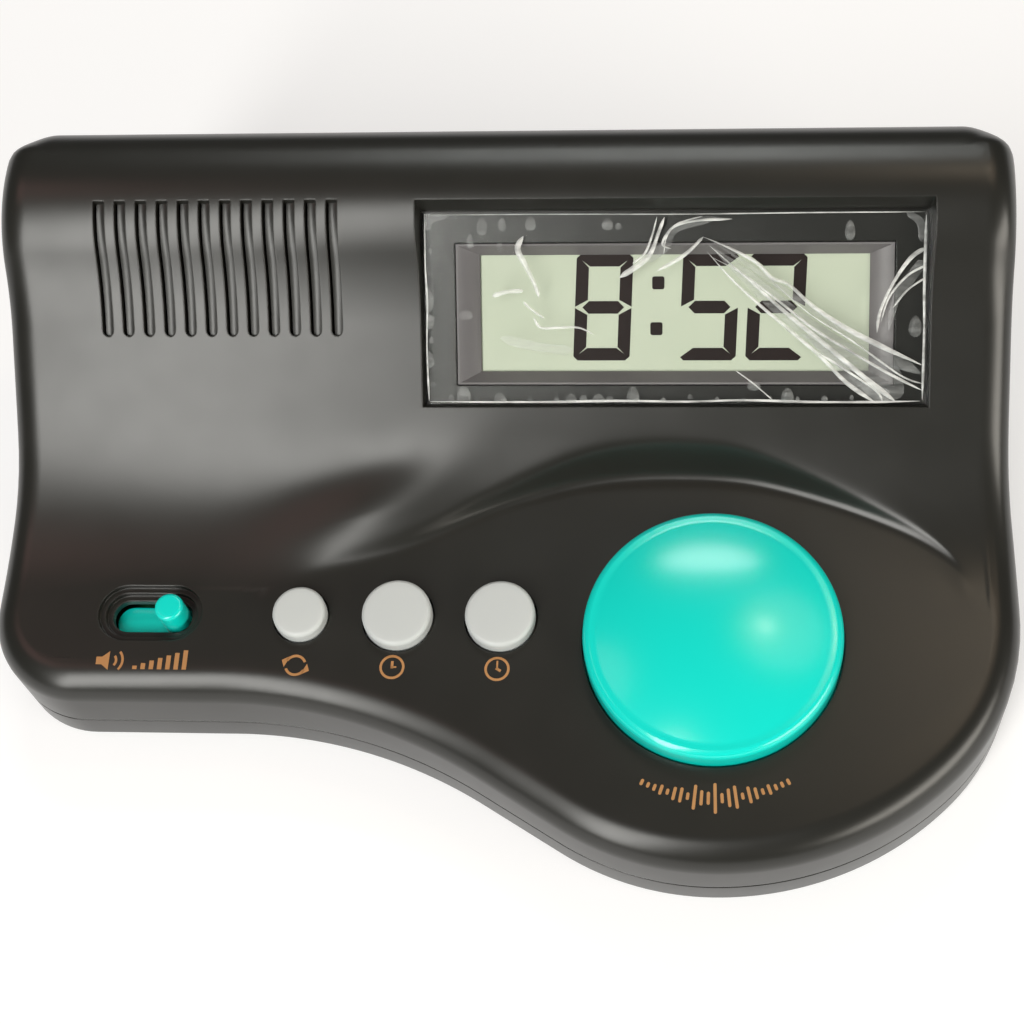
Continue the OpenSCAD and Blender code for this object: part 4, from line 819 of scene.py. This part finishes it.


# The folds are white with painted highlight; the last four rows run round the film's edge, which
# curls up, and their white is painted highlight too
# Lines in millimetres from the lens's middle, width at each end, height
CREASES = [
    ([(4.1, 9.8), (8, 8.1), (11.4, 6.2), (13.4, 4.2), (15.8, 3.2), (18.8, 0.5), (22.7, -2.2),
      (27.1, -4.6), (33.9, -7.8)], 0.3, 0.75, 0.2),
    ([(4.6, 7.8), (8, 4), (12, 0.3), (16.4, -3.4), (20.3, -6.8), (23.8, -10.3), (27.7, -13)],
     0.22, 0.7, 0.2),
    ([(5.1, 7.1), (9.5, 4.7), (14.4, 1), (19.3, -2.9), (24.2, -5.9), (29.1, -8.8), (34, -11.3)],
     0.2, 0.5, 0.2),
    ([(4.9, 8.6), (10, 4.2), (15.6, -0.8), (21, -5.2), (26.3, -9.6), (30.4, -12.8)], 0.2, 0.9, 0.2),
    ([(12.6, 4.6), (18.4, -0.6), (24.6, -4.6), (31, -9.2), (34.1, -10.4)], 0.15, 0.3, 0.15),
    ([(15.4, -2.9), (18.8, -5.4), (23.3, -8.3), (27.7, -11.3), (28.7, -12.8)], 0.2, 0.4, 0.15),
    ([(-2.2, 5.2), (0.2, 6.5), (2.2, 7.9), (4.1, 9.8)], 0.5, 0.5, 0.2),
    ([(-1.2, 12.5), (-2, 10.4), (-3.2, 7.4), (-5.2, 5.7), (-7.4, 4.3)], 0.4, 0.85, 0.25),
    ([(-2.2, 12.6), (-2.9, 10), (-3.9, 7.6), (-5.6, 6.2)], 0.2, 0.4, 0.15),
    ([(-0.3, 8.2), (-1.5, 8.9), (0, 11.1), (3.2, 12), (8, 12.2)], 0.25, 0.4, 0.15),
    ([(-1.3, 7.4), (-0.9, 9.8), (0.6, 11.6), (4, 12.6)], 0.15, 0.25, 0.1),
    ([(-20.6, 10), (-21.4, 8.3), (-20.4, 6.1), (-19.2, 3.6), (-18.5, 1.6)], 0.85, 0.5, 0.3),
    ([(-25, 1.8), (-22.9, 2.4), (-20.7, 2.5)], 0.65, 0.5, 0.2),
    ([(-20.7, 1), (-19.3, -0.3), (-17.8, -1.3)], 0.4, 0.25, 0.15),
    ([(-19.3, -1.2), (-18.3, -2.6), (-16.1, -2.6), (-13.1, -2.6), (-10.9, -3.6)], 0.45, 0.2, 0.15),
    ([(27.8, -3.4), (28.2, -0.5), (29.9, 3.4), (32.2, 6.8), (34.3, 8.2)], 0.35, 0.6, 0.2),
    ([(28.3, -2), (29.4, 1.5), (31.8, 4.4), (34.3, 5.8)], 0.2, 0.4, 0.15),
    ([(29.9, 0), (31.8, 2.4), (34.2, 4.1)], 0.25, 0.3, 0.15),
    ([(8.6, -8.6), (10.8, -10.2), (13.6, -12.6)], 0.2, 0.2, 0.1),
    ([(-34.2, 13.1), (-34.3, 6), (-34.1, 1), (-34.3, -6), (-34.1, -12.8)], 0.25, 0.3, 0.12),
    ([(-34, -12.9), (-20, -13), (-8, -12.8), (2, -12.9), (10, -12.7), (22, -13), (33.8, -12.8)],
     0.3, 0.35, 0.12),
    ([(34.1, -12.6), (34.2, -4), (34.1, 3), (34.2, 12.6)], 0.35, 0.4, 0.12),
    ([(-34, 13), (-18, 13), (2, 12.9), (18, 13), (34, 13)], 0.12, 0.2, 0.1),
]
# Patches where the film is lifted, pale with painted reflection
LIFTED_PAINTED_REFLECTIONS = [
    ([(5, 8.6), (10, 4.4), (15.6, -0.6), (21.5, -5), (27, -9), (31.4, -12)], 0.6, 5.6, 0.06),
    ([(6, 8.8), (13.6, 3.6), (19.6, -0.6), (26, -4.6), (33.8, -9)], 0.3, 1.9, 0.06),
    ([(18, -3.6), (22.4, -7.4), (26.4, -11), (29.6, -12.9)], 0.5, 3.6, 0.09),
    ([(-4.4, 6.6), (-1.2, 8.4), (0.4, 11), (6, 12.4)], 1.6, 0.9, 0.06),
    ([(-24, -4), (-19, -5.2), (-14, -5.8)], 1.2, 1.4, 0.05),
    ([(29.4, -3), (30.4, 1.4), (32.6, 4.6), (34, 6.4)], 0.8, 1.8, 0.06),
    ([(-34, 11), (-33.4, 12.4), (-31, 13)], 1.2, 1.0, 0.08),
    ([(33.6, 9), (33.4, 11.6), (31.6, 12.8)], 1.1, 0.9, 0.08),
]
# The bubbles' domes are real shape; their pale colour is painted reflection
# Middles of the larger bubbles, half width and half length
BUBBLES = [(-26.3, 11.4, 0.75, 1.25), (-23.5, 11.6, 0.6, 0.9), (-19.6, 11.7, 0.75, 1.0),
           (-9, 11.6, 0.8, 0.9), (-7.5, 11.3, 0.45, 0.5), (-23.9, 8.8, 0.45, 0.8),
           (24, 10.6, 0.7, 1.4), (-28.7, -0.8, 0.9, 0.7), (-34.1, 1.4, 0.9, 1.9),
           (-33.9, -1.8, 0.7, 1.0), (-34, -7, 0.7, 1.2), (-28, 9.3, 0.5, 1.0),
           (-29.2, -12, 1.0, 1.3), (-24.2, -12.6, 0.9, 1.0), (-14.2, -12.6, 0.8, 0.8),
           (-10.4, -12.6, 0.9, 0.8), (-5.6, -12.1, 0.9, 1.3), (15.7, -12.2, 0.9, 1.2),
           (11.1, -10.7, 0.9, 0.7), (33, -2.5, 0.9, 1.5)]
BUBBLES += [(x, -film_h / 2 + rng.uniform(0.4, 0.9), rng.uniform(0.25, 0.5), rng.uniform(0.25, 0.5))
            for x in np.arange(-31, 26, 3.7)]
BUBBLES += [(-film_w / 2 + rng.uniform(0.5, 1.2), y, rng.uniform(0.25, 0.45), rng.uniform(0.3, 0.6))
            for y in np.arange(-10.5, 12, 3.1)]


def blisters(name, z, material, rings=5, sides=18):
    """Low domes, a little lopsided, on the film."""
    verts, faces = [], []
    for x, y, half_w, half_h in BUBBLES:
        first = len(verts)
        for ring in range(rings):
            a = 90 * ring / rings
            for i in range(sides):
                b = 360 * i / sides
                u, v = cos(a) * cos(b), cos(a) * sin(b)
                px = min(max(x + half_w * u * (1 - 0.25 * v), -film_w / 2), film_w / 2)
                py = min(max(y + half_h * v, -film_h / 2), film_h / 2)
                verts.append((px, py, z + 0.45 * half_w * sin(a)))
        verts.append((x, y, z + 0.45 * half_w))
        top = first + (rings - 1) * sides
        faces += band_faces(sides, rings - 1, first)
        faces += [(top + i, top + (i + 1) % sides, top + sides) for i in range(sides)]
    return mesh(name, placed(verts, on_display), faces, material, sharp=180)


verts, faces = film_grid(140, 60)
film = mesh("film", placed(verts, on_display), faces, film_clear, sharp=180)
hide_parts("protective_film")
# Folds in painted highlight; lifted patches and bubbles in painted reflection
folds = [ribbons("film_creases", CREASES, film_z + 0.09, fold_painted_highlight),
         ribbons("film_lifted_painted_reflection", LIFTED_PAINTED_REFLECTIONS, film_z + 0.05, lift_painted_reflection),
         blisters("film_bubbles", film_z + 0.02, lift_painted_reflection)]
for piece in (film, *folds):
    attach(piece, "case")

# Grey frame with a bevelled opening, the display and its figures
frame_out = rectangle(window_w - 0.2, window_h - 0.2, 0, -lcd_down)
opening = rectangle(lcd_w, lcd_h, 0, -lcd_down)
opening_top = rectangle(lcd_w + 5.6, lcd_h + 2.7, 0, -lcd_down)
frame_top, sill = -2.2, seat_back + 0.25
verts = [(x, y, z) for edge, z in ((frame_out, seat_back), (frame_out, frame_top),
                                   (opening_top, frame_top), (opening, sill),
                                   (opening, seat_back)) for x, y in edge]
faces = [(4 * k + i, 4 * k + (i + 1) % 4, 4 * (k + 1) % 20 + (i + 1) % 4, 4 * (k + 1) % 20 + i)
         for k in range(5) for i in range(4)]
bezel = mesh("display_frame", placed(verts, on_display), faces, frame_grey)
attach(bezel, "case")
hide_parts("lcd_frame")

digit_h, digit_w, bar_t, slant = 14.9, 7.9, 1.75, 2.5
FIGURES = {8: "abcdefg", 5: "afgcd", 2: "abged"}
DIGITS = [(8, -9.85), (5, 4.95), (2, 14.2)]
digit_y = -0.1
glass_top = seat_back - 0.1


def bars(figure):
    """Seven-segment bars with mitred ends, as outlines round the figure's middle."""
    w, h, t, gap, soft = digit_w / 2, digit_h / 2, bar_t, 0.16, 0.45
    m = t / 2

    def level(y, side):
        if side == 0:
            return [(-w + m + gap, y), (-w + t + gap, y + m), (w - t - gap, y + m),
                    (w - m - gap, y), (w - t - gap, y - m), (-w + t + gap, y - m)]
        return [(-w + gap, y - side * soft), (-w + gap + soft, y), (w - gap - soft, y),
                (w - gap, y - side * soft), (w - t - gap, y - side * t),
                (-w + t + gap, y - side * t)]

    def upright(side, up):
        return [(side * x, up * y) for x, y in
                ((w, gap * 0.6), (w, h - gap - soft), (w - soft * 0.5, h - gap - soft * 0.4),
                 (w - t, h - t - gap), (w - t, m + gap))]
    made = {"a": level(h, 1), "g": level(0, 0), "d": level(-h, -1), "b": upright(1, 1),
            "f": upright(-1, 1), "c": upright(1, -1), "e": upright(-1, -1)}
    return [made[k] for k in FIGURES[figure]]


def flat_pieces(name, outlines, z0, z1, matrix, material):
    """Several thin polygons of one thickness as one piece."""
    verts, faces = [], []
    for outline in outlines:
        n, b = len(outline), len(verts)
        verts += [(x, y, z0) for x, y in outline] + [(x, y, z1) for x, y in outline]
        faces += [tuple(reversed(range(b, b + n))), tuple(range(b + n, b + 2 * n))]
        faces += band_faces(n, 1, b)
    return mesh(name, placed(verts, matrix), faces, material)


shapes = []
for figure, x in DIGITS:
    for outline in bars(figure):
        shapes.append([(x + px + py * tan(slant), digit_y + py) for px, py in outline])
colon_x, colon_w, colon_h = -2.3, 1.7, 1.8
for y in (3.3, -3.1):
    shapes.append(rectangle(colon_w, colon_h, colon_x + y * tan(slant), y, 0.3, 3))
digits = flat_pieces("display_figures", shapes, glass_top, glass_top + 0.05, on_display,
                     segment_dark)
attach(digits, "case")
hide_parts("lcd_segments")


# Buttons and slider
deck_under = -drop - 0.05
flange_top = deck_under - 0.3
talk_r, talk_round = talk_d / 2, 1.3
dome_r = (talk_r ** 2 + talk_dome ** 2) / (2 * talk_dome)


def dome(r):
    return talk_rim + math.sqrt(dome_r ** 2 - r * r) - dome_r + talk_dome


corner_z = dome(talk_r - talk_round) - talk_round * 0.93
post_r, post_z, ceiling = 2.6, -1.4, 1.5
talk_wall, talk_flange = 1.6, 1.2
profile = [(0, post_z), (post_r, post_z), (post_r, ceiling), (talk_r - talk_wall, ceiling),
           (talk_r - talk_wall, flange_top - talk_flange),
           (talk_r + talk_flange, flange_top - talk_flange), (talk_r + talk_flange, flange_top),
           (talk_r, flange_top)]
profile += [(talk_r, corner_z - 1.2)] + arc(talk_r - talk_round, corner_z, talk_round, 0, 76, 12)
profile += [(r, dome(r)) for r in np.linspace(profile[-1][0] - 0.4, 0, 28)]
talk = lathe("speech_button", profile, on_talk, teal, 192)
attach(talk, "talk")
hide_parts("talk_button")

stem_r, stem_z, key_flange, soft = 1.6, -4.9, 0.9, 0.65
for key, (x, d) in KEYS.items():
    r = d / 2
    profile = [(0, stem_z), (stem_r, stem_z), (stem_r, flange_top - key_flange),
               (r + key_flange, flange_top - key_flange), (r + key_flange, flange_top),
               (r, flange_top)]
    profile += arc(r - soft, key_proud - soft, soft, 0, 84, 10)
    profile += [(r * k, key_proud + 0.06 * (1 - k * k)) for k in (0.75, 0.5, 0.25, 0)]
    cap = lathe(key + "_cap", profile, on_deck(x, key_y), key_grey, 96)
    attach(cap, key.split("_")[0])
    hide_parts(key)


# Coil spring and rubber domes on the board
def coil(name, r, wire_r, z0, height, turns, matrix, material, steps=40, sides=8):
    """Round wire in a helix, with closed ends."""
    count = turns * steps + 1
    end = (count - 1) * sides
    verts, faces = [], [tuple(range(sides)), tuple(reversed(range(end, end + sides)))]
    for k in range(count):
        turn, z = 360 * k / steps, z0 + wire_r + height * k / (count - 1)
        for i in range(sides):
            out = r + wire_r * cos(360 * i / sides)
            verts.append((out * cos(turn), out * sin(turn), z + wire_r * sin(360 * i / sides)))
    return mesh(name, placed(verts, matrix), faces + band_faces(sides, count - 1), material)


def on_board(piece, node_name, matrix):
    """Stands on the board, in place of its part from the frame."""
    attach(piece, "case")
    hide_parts(node_name)
    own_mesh(piece)


board_top, spring_h, dome_h, key_travel, talk_travel = -8.0, 8.6, 3.0, 1.0, 2.2
spring = coil("speech_spring", 6.4, 0.4, board_top + 0.05, spring_h, 5, on_talk, steel)
on_board(spring, "talk_spring", on_talk)
dome_profile = [(0, 2.3), (1.8, 2.3), (3.2, 0), (3.6, 0), (3.6, 0.6), (2.4, 2.9), (0, dome_h)]
for key, (x, d) in KEYS.items():
    kind, on_key = key.split("_")[0], on_deck(x, key_y)
    cup = lathe(kind + "_cup", [(r, board_top + z) for r, z in dome_profile], on_key,
                plain["dome_rubber"], 48)
    on_board(cup, kind + "_dome", on_key)

slot_half = (volume_w - 4 * volume_step) / 2
knob_x = volume_x + slot_half - knob_d / 2 - 0.35
slider_top, slider_t = -3.9, 0.8
on_knob = on_deck(knob_x, volume_y)
r = knob_d / 2
plate = prism("slider_plate", rectangle(11.8, 4.4, knob_d / 2 + 1 - 11.8 / 2, 0, 2.19, 16),
              slider_top - slider_t, slider_top, on_knob, teal)
knob = lathe("slider_knob", [(0, slider_top - 0.1), (r, slider_top - 0.1)]
             + arc(r - 0.55, knob_proud - 0.55, 0.55, 0, 90, 10)
             + [(r * 0.3, knob_proud), (0, knob_proud)], on_knob, teal, 64)
for piece in (plate, knob):
    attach(piece, "volume")
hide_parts("volume_slider")


# Printed marks
def ring_part(r, t, a0, a1, x=0.0):
    """Arc of a ring as one outline."""
    angles = [a0 + (a1 - a0) * k / 14 for k in range(15)]
    return ([(x + (r + t / 2) * cos(a), (r + t / 2) * sin(a)) for a in angles]
            + [(x + (r - t / 2) * cos(a), (r - t / 2) * sin(a)) for a in reversed(angles)])


def full_ring(r, t):
    return [ring_part(r, t, a, a + 90) for a in (0, 90, 180, 270)]


def hand(angle, length, t):
    """Bar that starts in the middle and points at an angle."""
    c, s = cos(angle), sin(angle)
    return [(x * c - y * s, x * s + y * c) for x, y in
            ((-t / 2, -t / 2), (length, -t / 2), (length, t / 2), (-t / 2, t / 2))]


ink_t = 0.03
MARKS = {
    "volume_mark": ((-48.7, -21.5), [[(-6.4, -0.55), (-5.6, -0.55), (-4.6, -1.35), (-4.6, 1.35),
                                      (-5.6, 0.55), (-6.4, 0.55)],
                                     ring_part(1.0, 0.34, -42, 42, -4.6),
                                     ring_part(1.9, 0.34, -42, 42, -4.6)]
                    + [rectangle(0.62, 0.5 + 0.38 * k, -0.9 + 1.15 * k, -1.2 + (0.5 + 0.38 * k) / 2)
                       for k in range(7)]),
    "mode_mark": ((-27.3, -21.9), [ring_part(1.35, 0.36, 20, 150), ring_part(1.35, 0.36, 200, 330),
                                   [(-1.95, 0.75), (-0.75, 1.35), (-1.6, -0.25)],
                                   [(1.95, -0.75), (0.75, -1.35), (1.6, 0.25)]]),
    "hour_mark": ((-14.0, -22.0), [*full_ring(1.55, 0.34), hand(90, 0.85, 0.36),
                                   hand(0, 0.6, 0.22)]),
    "minute_mark": ((0.35, -22.1), [*full_ring(1.55, 0.34), hand(90, 1.15, 0.24),
                                    hand(-30, 0.6, 0.36)]),
}
wave_r, wave_n, wave_step = 21.9, 23, 2.35
wave = []
for k in range(wave_n):
    a = -90 + 1 + (k - (wave_n - 1) / 2) * wave_step
    swell = math.exp(-((k - (wave_n - 1) / 2) / 6.5) ** 2)
    h = 0.7 + 3.4 * swell * (0.55 + 0.45 * math.cos(k * 2.3))
    wave.append([(wave_r * cos(a) + u * cos(a) - v * sin(a),
                  wave_r * sin(a) + u * sin(a) + v * cos(a))
                 for u, v in rectangle(h, 0.42, 0, 0, 0.2, 4)])
MARKS["speech_mark"] = (talk_at, wave)
for name, ((x, y), outlines) in MARKS.items():
    mark = flat_pieces(name, outlines, 0.003, ink_t, on_deck(x, y), gold)
    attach(mark, "case")


# Studio and camera
def area_light(name, place, target, size, energy, color, size_y=None):
    light = bpy.data.lights.new(name, "AREA")
    light.energy, light.color, light.size = energy, color, size
    light.shape = "DISK"
    if size_y:
        light.shape, light.size_y = "ELLIPSE", size_y
    obj = bpy.data.objects.new(name, light)
    scene.collection.objects.link(obj)
    obj.location = place
    obj.rotation_euler = (Vector(place) - Vector(target)).to_track_quat("Z", "Y").to_euler()


area_light("front_soft", (-0.335, -0.676, 0.69), (0, 0, 0.03), 0.27, 9.8, (1, 0.99, 0.95), 1.25)
area_light("back_soft", (0.01, 0.60, 0.81), (0, 0, 0.02), 0.44, 1.4, (0.97, 1, 0.97), 0.14)
area_light("right_low", (0.66, -0.42, 0.29), (0.04, 0, 0.02), 0.8, 4.4, (1, 0.95, 0.86), 0.3)
area_light("right_warm", (0.34, 0.27, 0.92), (0, 0, 0.02), 0.4, 0.6, (1, 0.74, 0.5))
area_light("left_warm", (-0.50, 0.04, 0.85), (0, 0, 0.02), 0.35, 0.4, (1, 0.5, 0.46))
area_light("top_small", (0.28, 0.30, 1.0), (0, 0, 0.02), 0.07, 0.24, (1, 0.88, 0.68))

world = bpy.data.worlds.new("world")
scene.world = world
world.use_nodes = True
back = world.node_tree.nodes["Background"]
back.inputs["Color"].default_value = (1, 1, 1, 1)
back.inputs["Strength"].default_value = 0.1

floor_glow = 0.5
floor_mat = material("floor_pale", (0.55, 0.55, 0.55), 0.6)
rays = node(floor_mat, "ShaderNodeLightPath")
either = node(floor_mat, "ShaderNodeMath", operation="MAXIMUM")
any_ray = node(floor_mat, "ShaderNodeMath", operation="MAXIMUM")
glow = node(floor_mat, "ShaderNodeMath", operation="MULTIPLY")
glow.inputs[1].default_value = floor_glow
link(floor_mat, rays, "Is Camera Ray", either, 0)
link(floor_mat, rays, "Is Transmission Ray", either, 1)
link(floor_mat, either, 0, any_ray, 0)
link(floor_mat, rays, "Is Glossy Ray", any_ray, 1)
link(floor_mat, any_ray, 0, glow, 0)
link(floor_mat, glow, 0, shader_of(floor_mat), "Emission Strength")
shader_of(floor_mat).inputs["Emission Color"].default_value = (1, 1, 1, 1)
floor_w = 6000
floor = mesh("floor", [(x, y, 0) for x, y in rectangle(floor_w, floor_w)], [(0, 1, 2, 3)],
             floor_mat)

lean, turn, roll = 28.9, 4.2, -0.14
up0 = Vector((0, cos(lean), sin(lean)))
back0 = Vector((0, -sin(lean), cos(lean)))
east = Vector((1, 0, 0))
cam_back = cos(turn) * back0 + sin(turn) * east
r0 = cos(turn) * east - sin(turn) * back0
cam_right = cos(roll) * r0 - sin(roll) * up0
cam_up = sin(roll) * r0 + cos(roll) * up0
camera = bpy.data.objects.new("camera", bpy.data.cameras.new("camera"))
scene.collection.objects.link(camera)
pose = Matrix((cam_right, cam_up, cam_back)).transposed().to_4x4()
pose.translation = Vector((0.0296, -0.1196, 0.2556))
camera.matrix_world = pose
camera.data.lens = 66.8
camera.data.shift_x, camera.data.shift_y = -0.0615, -0.0605
camera.data.clip_start = 0.01
scene.camera = camera
scene.view_settings.view_transform = "Standard"
